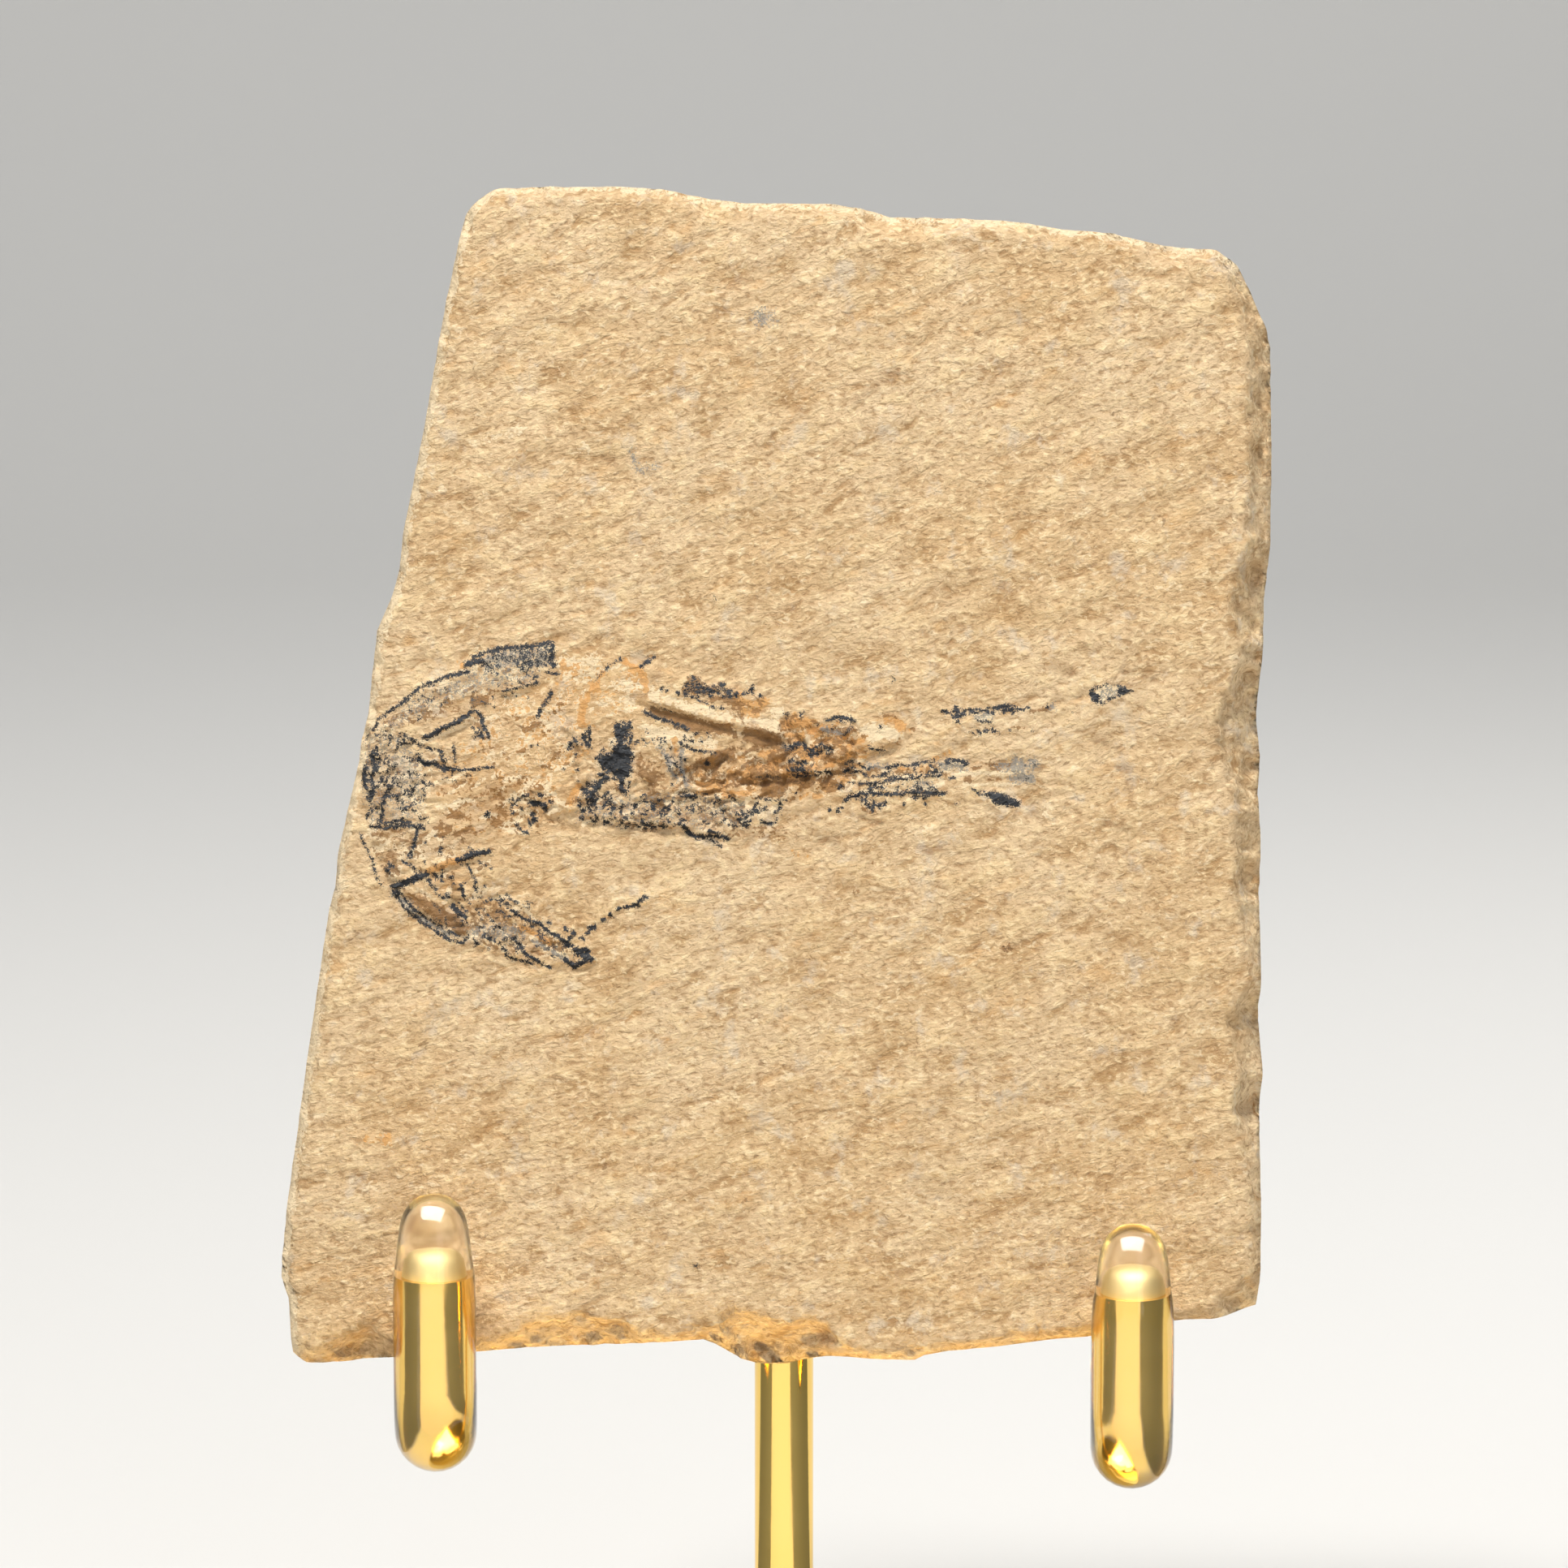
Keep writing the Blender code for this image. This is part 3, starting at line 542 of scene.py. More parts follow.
stone_mesh = plate_cage()
cage_points = np.empty(len(stone_mesh.vertices) * 3)
stone_mesh.vertices.foreach_get("co", cage_points)
cage_points = cage_points.reshape(-1, 3)
layer = -cage_points[:, 2]
on_front = layer < 0.01
flat = spread_over_plate(cage_points[:, :2])
print("the stone has", len(stone_mesh.polygons), "triangles")

# %% [markdown]
# ## The large relief
# The split did not run perfectly flat: it swells by a few tenths of a millimetre, it stands proud
# over the animal, and it steps down at ledges where a thin flake came away with the other half of
# the stone. Each ledge is a line: the stone rises to it on one side and drops on the other. These
# are the forms of the solid that the scene replaces, with narrower walls under the ledges. Only
# the longest ledge is different here: it is lower and a little longer.

# %% Swells, the body and its ledges
BODY_AREAS = (
    (
        (
            (-32.4, 4.3), (-29.4, 6.9), (-24.6, 10.0), (-18.2, 11.1), (-13.0, 9.9), (-8.0, 8.6),
            (-1.0, 6.9), (5.2, 5.2), (9.8, 4.6), (9.6, 3.6), (5.5, 2.0), (5.0, -1.4), (0.0, -2.2),
            (-4.5, -4.0), (-9.0, -3.4), (-16.0, -2.6), (-23.0, -0.5), (-23.4, -5.4), (-24.0, -8.5),
            (-25.5, -12.3), (-30.8, -8.2), (-32.6, -4.0), (-33.1, 0.0),
        ),
        0.35,
        1.0,
    ),
    (
        ((-25.5, -9.3), (-21.0, -9.0), (-14.8, -13.0), (-15.0, -14.5), (-20.0, -14.2), (-25.4, -12.5)),
        0.3,
        0.7,
    ),
)

# Each ledge: its points from left to right, its lift, its drop and how far the rise reaches
LEDGES = (
    (((-11.8, 6.9), (-8.0, 5.85), (-5.0, 4.95), (-2.6, 4.5), (0.6, 3.65)), 0.5, 0.22, 1.5),
    (((-8.2, 1.4), (-6.5, 1.9), (-5.0, 2.45), (-3.9, 2.75)), 0.45, 0.4, 1.4),
    (((-28.6, 3.6), (-26.5, 4.5), (-25.2, 5.05), (-24.2, 5.8)), 0.3, 0.3, 1.6),
    (((-23.6, 7.6), (-22.0, 7.35), (-20.6, 7.7), (-19.2, 8.1)), 0.25, 0.2, 1.2),
    (((-28.6, -7.0), (-26.8, -6.3), (-25.4, -5.9), (-23.2, -5.2)), 0.3, 0.25, 1.0),
    (((-3.4, 0.9), (-1.5, 0.75), (0.5, 0.9), (2.8, 1.1), (4.8, 1.5)), 0.5, 0.45, 1.0),
    (((-2.0, -1.1), (-0.6, -1.2), (0.6, -0.7)), 0.35, 0.3, 0.9),
    (((6.4, 2.7), (7.6, 2.9), (9.3, 3.6)), 0.4, 0.2, 1.6),
    (((-16.0, -2.2), (-13.0, -2.8), (-9.0, -3.1), (-4.6, -4.1)), 0.25, 0.25, 1.0),
)
LEDGE_WALL = 0.55
LEDGE_FADE = 1.6

# Each noise: its height, the size of its lumps and its seed
SWELLS = ((0.16, 9.0, 0.0), (0.1, 3.2, 5.0))


def large_relief(points):
    lift = rolling(points, SWELLS)
    for outline, height, border in BODY_AREAS:
        lift += height * soft_area(points, outline, border)
    for line, rise, drop, reach in LEDGES:
        distance, side = to_line(points, line)
        above = rise * np.clip(1 - distance / reach, 0.0, 1.0) ** 2
        below = np.interp(distance, (0, LEDGE_WALL, 2 * LEDGE_WALL), (rise, -drop, 0.0))
        ends = [np.linalg.norm(points - np.array(end), axis=1) for end in (line[0], line[-1])]
        fade = np.clip(np.minimum(*ends) / LEDGE_FADE, 0.0, 1.0)
        lift += fade * np.where(side > 0, above, below)
    return lift


front_points = flat[on_front]
lift = large_relief(front_points)
print("the face rises", round(lift.max(), 2), "mm and falls", round(-lift.min(), 2), "mm")

# %% [markdown]
# ## The leg cluster
# Where the legs were packed together the stone broke into a crumple of sharp little flakes. Noise
# alone looks like soft dough. Taking its absolute value folds it into creases, and two sizes of
# creases, laid over each other along the run of the legs, look broken rather than kneaded.

# %% Crumple the cluster
FLAKE_SIZE, FLAKE_SEED = 1.7, 9.0
SPLINTER_SIZE, SPLINTER_SEED = 0.7, 14.0
SPLINTER_STRETCH = (0.6, 1.0)
CRUMPLE_BORDER = 1.5

# Each crumpled area: its outline, the height of its flakes and of its splinters
CRUMPLED = (
    (
        (
            (-9.0, 2.6), (-3.0, 3.4), (0.5, 5.3), (5.6, 4.8), (6.6, 2.4), (5.2, 0.0), (1.0, -1.3),
            (-5.0, -1.5), (-9.5, -0.6),
        ),
        0.5,
        0.36,
    ),
    (
        (
            (-17.5, 4.6), (-14.0, 4.8), (-11.0, 2.0), (-9.0, -0.4), (-3.0, -0.8), (-3.5, -3.6),
            (-9.0, -3.8), (-16.5, -3.4), (-21.5, -3.6), (-21.5, -0.6), (-17.0, 1.0),
        ),
        0.26,
        0.3,
    ),
    (
        (
            (-33.4, 4.0), (-31.0, 4.6), (-26.8, 3.4), (-24.5, 1.0), (-27.5, -2.8), (-29.6, -5.5),
            (-25.0, -8.0), (-20.5, -8.8), (-15.8, -12.6), (-16.5, -14.6), (-25.5, -12.6),
            (-31.2, -8.6), (-33.2, -2.0),
        ),
        0.16,
        0.28,
    ),
)


def creased(points, size, seed):
    """Noise folded at its middle, so that its valleys are sharp creases."""
    return np.abs(lumps(points, size, seed)) * 2 - 0.5


def crumple(points):
    flakes = creased(points, FLAKE_SIZE, FLAKE_SEED)
    splinters = creased(points * SPLINTER_STRETCH, SPLINTER_SIZE, SPLINTER_SEED)
    crumpled = np.zeros(len(points))
    for outline, flake_height, splinter_height in CRUMPLED:
        broken = flake_height * flakes + splinter_height * splinters
        crumpled += soft_area(points, outline, CRUMPLE_BORDER) * broken
    return crumpled


crumpled = crumple(front_points)
lift += crumpled
print("flakes up to", round(float(crumpled.max()), 2), "mm high")

# %% [markdown]
# ## Grain
# Limestone split along its bed leaves thousands of thin flakes, longer than they are tall, that
# lean up to the right near the top of this plate and lie almost level near the bottom. A noise
# whose coordinates are squeezed across that direction gives the shape. Terracing the noise, so
# that it climbs in small flat steps, gives the thin dark edge under each flake that smooth noise
# never has. A finer noise that lies level goes on top. The squeezed coordinates are kept, because
# the broad grain of the material follows them.

# %% Lay the flakes
GRAIN_RISE_TOP = radians(27)
GRAIN_RISE_BOTTOM = radians(14)
FACE_HALF = 46.0
GRAIN_STRETCH = 2.1
TERRACE = 0.12
TERRACE_WALL = 2.2

# Each noise: its height, the size of its lumps and its seed
LEANING_GRAIN = ((0.28, 2.4, 21.0), (0.18, 0.85, 22.0))
LEVEL_GRAIN = ((0.1, 0.55, 23.0),)
LEVEL_STRETCH = (0.55, 1.0)
BODY_SMOOTHNESS = 0.55


def grain_coordinates(points):
    """Points turned along the grain and squeezed, so that round noise gives long flakes."""
    height = np.clip((points[:, 1] / FACE_HALF + 1) / 2, 0.0, 1.0)
    rise = GRAIN_RISE_BOTTOM + (GRAIN_RISE_TOP - GRAIN_RISE_BOTTOM) * height
    along = points[:, 0] * np.cos(rise) + points[:, 1] * np.sin(rise)
    across = points[:, 1] * np.cos(rise) - points[:, 0] * np.sin(rise)
    return np.stack([along / GRAIN_STRETCH, across], axis=1)


def terraced(height, step):
    """The height climbing in flat steps with short slopes between."""
    level = height / step
    floor = np.floor(level)
    rest = np.clip((level - floor) * TERRACE_WALL - (TERRACE_WALL - 1) / 2, 0.0, 1.0)
    return step * (floor + rest)


grain_points = grain_coordinates(flat)
along_grain = grain_points[on_front]
flaky = terraced(rolling(along_grain, LEANING_GRAIN), TERRACE)
flaky += rolling(front_points * LEVEL_STRETCH, LEVEL_GRAIN)
smooth_body = BODY_SMOOTHNESS * soft_area(front_points, BODY_AREAS[0][0], 1.2)
lift += flaky * (1 - smooth_body)
print("grain up to", round(float(np.abs(flaky).max()), 2), "mm")

# %% [markdown]
# ## Drawing the shrimp
# What is left of the animal is mostly colour: a film of black and grey carbon, brown and amber
# stains, and cream calcite. It isn't raised, so it is drawn. A painted picture would be one way,
# but here each line is a stroke from point to point in millimetres, which stays sharp at any
# size. A stroke, a patch or a dot only says where a colour is and how strong it is. Where the
# film broke into crumbs, dots and nicks are strewn by seeded dice inside an outline. How ragged
# an edge looks is the material's business. The next cells draw the animal region by region.

# %% Strokes, patches, dots and strewn crumbs
marks = []
dice = np.random.default_rng(11)


def stroke(kind, width, *points, strength=1.0):
    marks.append((kind, width / 2, strength, points, False))


def patch(kind, strength, *outline, border=0.35):
    marks.append((kind, border, strength, outline, True))


def dots(kind, size, *places, strength=1.0):
    for u, v in places:
        stroke(kind, size, (u, v), (u + 0.01, v), strength=strength)


def strewn(count, outline):
    """This many random places inside an outline."""
    corners = np.array(outline)
    places = dice.uniform(corners.min(axis=0), corners.max(axis=0), (count * 8, 2))
    return places[is_inside(places, outline)][:count]


def speckle(kind, size, count, *outline, strength=1.0):
    """Dots of mixed sizes inside an outline."""
    for place in strewn(count, outline):
        dots(kind, size * dice.uniform(0.6, 1.5), place, strength=strength)


def nicks(kind, width, length, count, *outline, rise=10, strength=1.0):
    """Short strokes inside an outline, most of them near this many degrees of rise."""
    for u, v in strewn(count, outline):
        angle = radians(rise + dice.normal(0, 28))
        reach = length * dice.uniform(0.4, 1.3) / 2
        du, dv = reach * cos(angle), reach * sin(angle)
        thickness = width * dice.uniform(0.7, 1.3)
        stroke(kind, thickness, (u - du, v - dv), (u + du, v + dv), strength=strength)


print("nothing drawn yet:", len(marks), "marks")

# %% [markdown]
# ### The back
# The shell's back runs from the bend up to the right as one soft dark line, then steps up along
# the edge of the head shield into a block of mottled film with small white blobs in it.

# %% Draw the back
BACK_BAND = (
    (-31.8, 4.6), (-29, 6.9), (-25.2, 8.5), (-24.3, 9.3), (-21.8, 9.2), (-19.3, 9.1), (-19.4, 8.1),
    (-22, 7.6), (-24.6, 7.2), (-28, 5.9), (-30.8, 4.3),
)
patch("cream", 0.5, (-30, 5.8), (-27.4, 7.6), (-25, 8.4), (-20, 9.1), (-19.6, 8.3), (-23.2, 7.6), (-28, 6.0))
patch("brown", 0.36, (-31, 5.6), (-29, 7), (-24.4, 7.1), (-24, 5.2), (-28, 4.6), (-31, 4.4), border=0.8)
patch("grey", 0.42, *BACK_BAND)
nicks("brown", 0.22, 0.7, 22, *BACK_BAND, rise=30, strength=0.85)
speckle("cream", 0.36, 22, *BACK_BAND)
speckle("black", 0.2, 24, *BACK_BAND, strength=0.9)
stroke("black", 0.36, (-32.5, 4.3), (-31.8, 5.3), (-31, 5.9), (-30.3, 6.3), (-29.3, 7.2), strength=0.92)
stroke(
    "black", 0.38, (-29.3, 7.2), (-28.2, 7.9), (-27.5, 8.05), (-26.3, 8.6), (-24.9, 8.8), strength=0.95
)
dots("orange", 0.4, (-25.4, 9.35))
stroke("black", 0.5, (-25, 9.45), (-24.0, 9.75))
stroke("black", 0.36, (-24.5, 10), (-23.5, 10.4), (-22, 10.7), (-20, 10.9), (-18.2, 11.15))
stroke("black", 0.42, (-18.3, 11.1), (-18.25, 9.3))
HEAD_BLOCK = (
    (-24.6, 9.7), (-23.4, 10.3), (-22, 10.65), (-18.3, 11.05), (-18.2, 9.2), (-20.4, 9.2), (-23.4, 8.9),
)
patch("grey", 0.72, *HEAD_BLOCK)
patch("black", 0.44, *HEAD_BLOCK)
nicks("black", 0.2, 1.0, 26, *HEAD_BLOCK, rise=82, strength=0.95)
for u in (-21.2, -20.85, -20.5, -20.15, -19.5, -18.9):
    stroke("black", 0.18, (u, 10.8), (u + 0.12, 9.3), strength=0.95)
speckle("cream", 0.34, 16, *HEAD_BLOCK)
dots("cream", 0.5, (-24.3, 8.9), (-23.4, 8.9), (-22.9, 8.8), (-22, 8.4), (-21.6, 8.3), (-26.6, 8.0))
dots("cream", 0.4, (-27, 7.8), (-26.2, 7.5), (-21.2, 9.0), (-20.5, 8.9), (-19.9, 9.0), (-25.4, 7.8))
stroke("black", 0.2, (-28.3, 6.2), (-28.2, 6.6), (-27.6, 6.85), (-27.2, 6.7), strength=0.8)
dots("cream", 0.5, (-27.8, 6.4))
dots("brown", 0.45, (-30, 5.5), (-29.6, 5.2), (-29.4, 5.6), (-29.3, 4.9), (-28.3, 5.2), (-26.7, 6.6))
stroke("black", 0.26, (-18.6, 8.8), (-17.9, 8.7))
stroke("brown", 0.25, (-23.5, 7.5), (-22.7, 7.35), (-22, 7.4))
stroke("black", 0.24, (-22.2, 7.4), (-21.4, 7.5), (-20.6, 7.7), (-19.4, 7.95))
dots("black", 0.4, (-20.9, 8.1), (-19.6, 8.0), (-19.65, 8.5))
speckle("cream", 0.26, 8, (-22.2, 6.5), (-20.8, 6.6), (-20.8, 7.2), (-22.1, 7.1))
dots("black", 0.22, (-22, 7.0), (-21.5, 7.2), (-21.1, 6.9), (-23, 6.8), (-20.2, 6.9))

# %% [markdown]
# ### Segment wedges
# Below the back the shell of each segment ended in a pointed flap. Their edges are heavy black
# lines with brown between them, and a thin dark spike of shell stands alone further right.

# %% Draw the wedges
stroke("black", 0.42, (-28.4, 3.65), (-27.5, 4.05), (-26.8, 4.4), (-26, 4.8), (-25.2, 5.25), (-24.4, 5.8))
# A painted highlight along the lit edge below the wedge line
stroke("cream", 0.4, (-28.6, 3.2), (-27.5, 3.75), (-26.5, 4.2), (-25.4, 4.65), (-24.9, 4.9))
patch(
    "orange", 0.34, (-24, 7), (-17.6, 8.2), (-15.2, 6), (-15.4, 2), (-17, -2.6), (-22, -4.4), (-27.6, -3.4),
    (-28, 1.2), (-25, 3.4), (-24, 5),
    border=1.2,
)
patch("brown", 1.0, (-24.8, 6.9), (-23.3, 6.95), (-23.5, 6.3), (-24.5, 6.0), (-24.8, 6.3))
patch("black", 0.6, (-24.9, 6.9), (-24.0, 6.9), (-24.3, 6.2), (-24.7, 5.8))
stroke("black", 0.26, (-23.9, 6.5), (-22.8, 6.1), strength=0.8)
stroke("black", 0.36, (-24.3, 5.8), (-23.9, 5.3), (-23.7, 4.6), (-23.5, 4.2), (-23.3, 3.7))
patch("cream", 0.8, (-24.8, 5.3), (-24.2, 5.2), (-24.1, 4.7), (-24.8, 4.7))
patch("brown", 0.8, (-24.3, 5.6), (-23.9, 5.0), (-23.8, 4.3), (-24.5, 4.5))
nicks("black", 0.22, 0.5, 7, (-25, 4.8), (-24.2, 4.5), (-23.5, 3.6), (-24.4, 3.8), rise=-35)
stroke("brown", 0.5, (-18.3, 7.2), (-19.0, 6.2))
stroke("black", 0.32, (-18.3, 7.3), (-18.9, 6.3), (-19.5, 5.3))
stroke("brown", 0.22, (-22.5, 5.4), (-21, 4.6), (-20.5, 4.2), strength=0.8)
patch("cream", 0.45, (-22.5, 7), (-16.5, 8), (-15.6, 4.6), (-17, 2), (-20, 0.6), (-24, 1.4), (-24, 4))
FLAPS = ((-23.5, 6.4), (-16.5, 6.6), (-17, 1), (-22, -0.6), (-24, 2))
nicks("brown", 0.22, 1.1, 26, *FLAPS, strength=0.7)
nicks("cream", 0.4, 1.4, 18, *FLAPS, rise=25)

# %% [markdown]
# ### The bend
# The tail curls under itself at the left, and here the film broke into short crossing bits: thick
# bands down the outside, thinner ones between the segments, and loose specks.

# %% Draw the bend
BEND = (
    (-33.2, 3.6), (-31.8, 4.3), (-29.6, 3.6), (-28.6, 1.6), (-28.4, -1.4), (-29.4, -2.8), (-32.6, -3.0),
    (-33.3, -0.4),
)
patch("grey", 0.4, *BEND)
patch("cream", 0.42, (-31.2, 3.2), (-28.6, 2.8), (-27.2, 0.6), (-28.2, -2.2), (-30.4, -2.8), (-31, 0))
patch("brown", 0.42, (-32.4, -0.6), (-30.9, -0.4), (-30.6, -3), (-32, -3.2))
nicks("black", 0.22, 0.75, 34, *BEND, rise=60, strength=0.9)
nicks("black", 0.2, 0.6, 16, (-29.6, 3.4), (-24.6, 2.4), (-24.6, 0.6), (-29.2, -0.6), strength=0.85)
speckle("cream", 0.36, 26, *BEND)
speckle("brown", 0.34, 16, *BEND, strength=0.8)
patch("black", 0.45, (-32.3, 4.1), (-30.9, 5.0), (-30.4, 4.8), (-31, 4.0), (-32, 3.6))
dots("cream", 0.35, (-31.9, 4.4), (-31.3, 4.6), (-30.9, 4.3))
dots("black", 0.42, (-28.8, 5.25), (-30.2, 3.2), (-30.05, 3.45))
stroke("black", 0.4, (-30.2, 3.95), (-29.3, 3.4), (-28.7, 3.0), strength=0.85)
stroke("black", 0.24, (-32.2, 3.85), (-31.2, 3.85), strength=0.9)
stroke("black", 0.22, (-32.7, 2.3), (-32.4, 2.55), (-32.1, 2.35), (-32.4, 2.15), (-32.7, 2.3))
stroke("black", 0.2, (-31.7, 1.8), (-31.4, 2.1), (-31.1, 1.8), (-31.4, 1.5), (-31.7, 1.8))
dots("cream", 0.36, (-31.4, 1.8), (-29.6, 1.8), (-28.8, 1.6))
stroke("black", 0.5, (-32.5, 2.2), (-32.2, 1.1))
stroke("black", 0.42, (-33, 1.4), (-33.1, 0.6), (-33.0, -0.2))
stroke("black", 0.36, (-32.3, 1.5), (-32.6, 0.3), (-32.4, -0.6), (-32.7, -1.4))
stroke("black", 0.26, (-31.0, 1.5), (-31.8, 0.2), (-32.6, -0.9))
for v in (0.9, 0.3, -0.4, -1.0):
    stroke("black", 0.2, (-33.0, v), (-32.4, v - 0.3), strength=0.9)
stroke("black", 0.34, (-30.7, 0.1), (-31.2, -0.5), (-31.6, -1), (-31.7, -2.2), (-32, -3))
stroke("black", 0.34, (-31.6, -0.95), (-30.4, -0.95))
stroke("black", 0.26, (-32, -1.9), (-32.8, -2.4))
stroke("black", 0.26, (-29.7, -0.5), (-29.5, -0.9), (-29.2, -0.3))
stroke("black", 0.22, (-28.4, -0.7), (-28.4, -1.2))
stroke("black", 0.22, (-30.1, -1.3), (-29.9, -2.1))
stroke("black", 0.22, (-30, -1.9), (-29, -2.1))
stroke("black", 0.22, (-30.9, -2.9), (-30, -2.8))
stroke("black", 0.26, (-30, 2.2), (-29.4, 2.0), (-28.8, 2.0), (-28.3, 1.7))
stroke("black", 0.22, (-28.8, 3.0), (-28, 2.8), (-27, 2.6), (-26.9, 1.8))
stroke("black", 0.26, (-26.1, 2.9), (-26, 1.8))
stroke("black", 0.42, (-28.9, 2.0), (-28.2, 1.65), (-27.6, 1.5), (-27, 1.3), (-26, 1.15))
stroke("black", 0.28, (-26, 1.15), (-24.5, 1.15), (-23, 1.35))
stroke("cream", 0.3, (-29.3, 0.75), (-28.5, 0.7))
stroke("black", 0.22, (-29.7, 0.9), (-29.5, 0.5))
stroke("black", 0.22, (-28.6, 0.4), (-28.3, -0.2))
stroke("black", 0.22, (-28, 0.2), (-27.7, -0.1))
stroke("cream", 0.42, (-27.5, 0.1), (-26.5, 0.2), (-25.6, 0.7))
stroke("cream", 0.42, (-27.3, -1.8), (-26, -1.6), (-25, -1.3))
stroke("brown", 0.26, (-27.3, -0.4), (-26.2, -0.2), (-25.2, 0.2), strength=0.8)
patch("black", 0.7, (-28.9, -2.5), (-28, -2.6), (-28.1, -3.0), (-28.8, -2.9))
patch("brown", 0.62, (-27, -2.2), (-25, -2.1), (-25, -2.8), (-27, -2.9))

# %% [markdown]
# ### Segments below the bend
# Two more segments hang under the bend. Heavy strokes mark their front edges, with amber shell
# between the black, and a brown stain lies in the fold.

# %% Draw the lower segments
LOWER = (
    (-32.8, -3.4), (-28.6, -3.4), (-23.4, -5.2), (-23.6, -8.6), (-26, -9.2), (-29.8, -7.2), (-31.6, -7.8),
)
patch("cream", 0.5, (-32.4, -4), (-29.5, -3.8), (-29.8, -6.8), (-31.4, -7.6))
patch("cream", 0.45, (-28.6, -4.4), (-24.2, -4.6), (-25, -5.6), (-28.6, -6.8))
patch("brown", 0.34, *LOWER, border=0.9)
nicks("brown", 0.24, 0.8, 22, *LOWER, rise=30, strength=0.8)
nicks("cream", 0.36, 1.0, 22, *LOWER, rise=30)
speckle("black", 0.22, 22, *LOWER, strength=0.9)
stroke("black", 0.3, (-31.5, -3.1), (-29.5, -3.0))
stroke("black", 0.34, (-32.6, -3.3), (-31.6, -3.5), (-30.8, -3.4), (-30, -3.25), (-29, -3.3), (-28.5, -3.4))
stroke("brown", 0.26, (-32.5, -3.9), (-31.8, -4))
stroke("black", 0.34, (-28.9, -3.6), (-29.1, -4.2), (-29.2, -5), (-29.6, -5.8))
stroke(
    "black", 0.24, (-33.5, -4.0), (-32.9, -5.2), (-32.5, -6.2), (-32.2, -7.3), (-31.9, -8.0),
    strength=0.9,
)
patch("brown", 0.72, (-31.8, -5.3), (-30.5, -5.1), (-30.3, -7.0), (-31.5, -7.4))
dots("black", 0.45, (-31.3, -6.8), (-31.1, -6.4))
dots("cream", 0.4, (-31.7, -5.2), (-31.2, -4.5), (-30.4, -5.4))
stroke("black", 0.55, (-30.8, -8.1), (-29.8, -7.7), (-28.9, -7.4), (-28.2, -7.1))
stroke("orange", 0.55, (-28.1, -6.95), (-26.9, -6.4), (-25.6, -5.95))
stroke("black", 0.48, (-25.7, -6), (-24.8, -5.7), (-24.2, -5.4), (-23.3, -5.4))
stroke("black", 0.22, (-30.2, -6.1), (-29.4, -6.4), (-28.9, -7.0))
stroke("black", 0.26, (-25, -6.4), (-24.7, -6.9), (-24.4, -7.6), (-24.4, -8.2), (-24.2, -8.4))
stroke("black", 0.26, (-25.5, -8.0), (-25.2, -8.9))
dots("black", 0.32, (-23.6, -8.1), (-23.2, -6.6), (-26.2, -7.3), (-24.0, -6.2))
stroke("black", 0.24, (-28.1, -7.5), (-27.3, -8.7), (-26.9, -9.1))
stroke("black", 0.24, (-27.6, -7), (-27.4, -7.6))
stroke("black", 0.24, (-27, -6.9), (-27, -7.7))
patch("black", 0.75, (-27.1, -8.6), (-26.3, -8.5), (-26.2, -9.1), (-27, -9.1))
patch("orange", 0.5, (-27.5, -3.2), (-23.2, -3.3), (-23.4, -4.2), (-27.3, -4.3))
nicks("brown", 0.26, 1.2, 10, (-27.5, -3.0), (-23.2, -3.1), (-23.4, -4.3), (-27.3, -4.4))

# %% [markdown]
# ### The last segment and the tail fan
# The last segment is one smooth brown wedge between two long dark lines, and the tail fan
# spreads from it down to the right in splinters of film, ending in solid black tips. A line of
# small dots leads away from the fan.

# %% Draw the last segment and the fan
stroke(
    "grey", 0.5, (-30.8, -8.6), (-29.8, -9.6), (-28.8, -10.5), (-27.6, -11.2), (-26.6, -11.9),
    strength=0.8,
)
stroke(
    "black", 0.3, (-30.9, -8.3), (-30.4, -9.2), (-29.6, -10.1), (-28.6, -10.9), (-27.5, -11.6),
    (-26.8, -12.1), (-26.2, -12.4), (-25.3, -12.5), (-24.9, -12.0),
)
stroke(
    "black", 0.26, (-30.6, -8.4), (-29.9, -9.1), (-29.2, -9.9), (-28.3, -10.5), (-27.5, -11),
    (-26.6, -11.6), (-25.7, -12),
)
WEDGE = (
    (-29.9, -8.4), (-27.6, -9.2), (-25.9, -10.2), (-25, -11.2), (-25.2, -12), (-26.5, -11.6),
    (-28, -10.5), (-29.4, -9.5),
)
patch("brown", 0.8, *WEDGE)
nicks("black", 0.2, 0.8, 10, *WEDGE, rise=-35, strength=0.7)
dots("brown", 0.9, (-27.0, -10.3), (-26.4, -10.6))
patch("cream", 0.6, (-29.6, -7.9), (-27.4, -8.8), (-26.4, -9.6), (-28, -9.2), (-29.8, -8.4))
stroke("black", 0.5, (-26.1, -9.7), (-25.6, -10.2), (-25.2, -10.45))
FAN = (
    (-25.6, -8.4), (-21.4, -8.9), (-19.4, -10.8), (-16.6, -12.6), (-16.4, -13.8), (-20, -13.8),
    (-24.8, -12.4), (-25.2, -10.6),
)
patch("brown", 0.42, *FAN, border=0.7)
patch(
    "grey", 0.5, (-25.2, -11.1), (-22, -10.9), (-20.4, -11.5), (-20.6, -12.9), (-22, -12.5),
    (-24.8, -12.1),
)
nicks("black", 0.2, 0.9, 34, *FAN, rise=-34, strength=0.92)
nicks("brown", 0.24, 1.0, 22, *FAN, rise=-34, strength=0.9)
nicks("cream", 0.32, 1.0, 26, *FAN, rise=-34)
speckle("black", 0.22, 20, *FAN, strength=0.95)
patch("black", 0.75, (-20.6, -9.2), (-19.7, -9.4), (-19.8, -9.8), (-20.6, -9.7))
stroke("black", 0.34, (-21.5, -10), (-20.5, -10.6), (-19.4, -11), (-18.8, -11.5), (-18, -12))
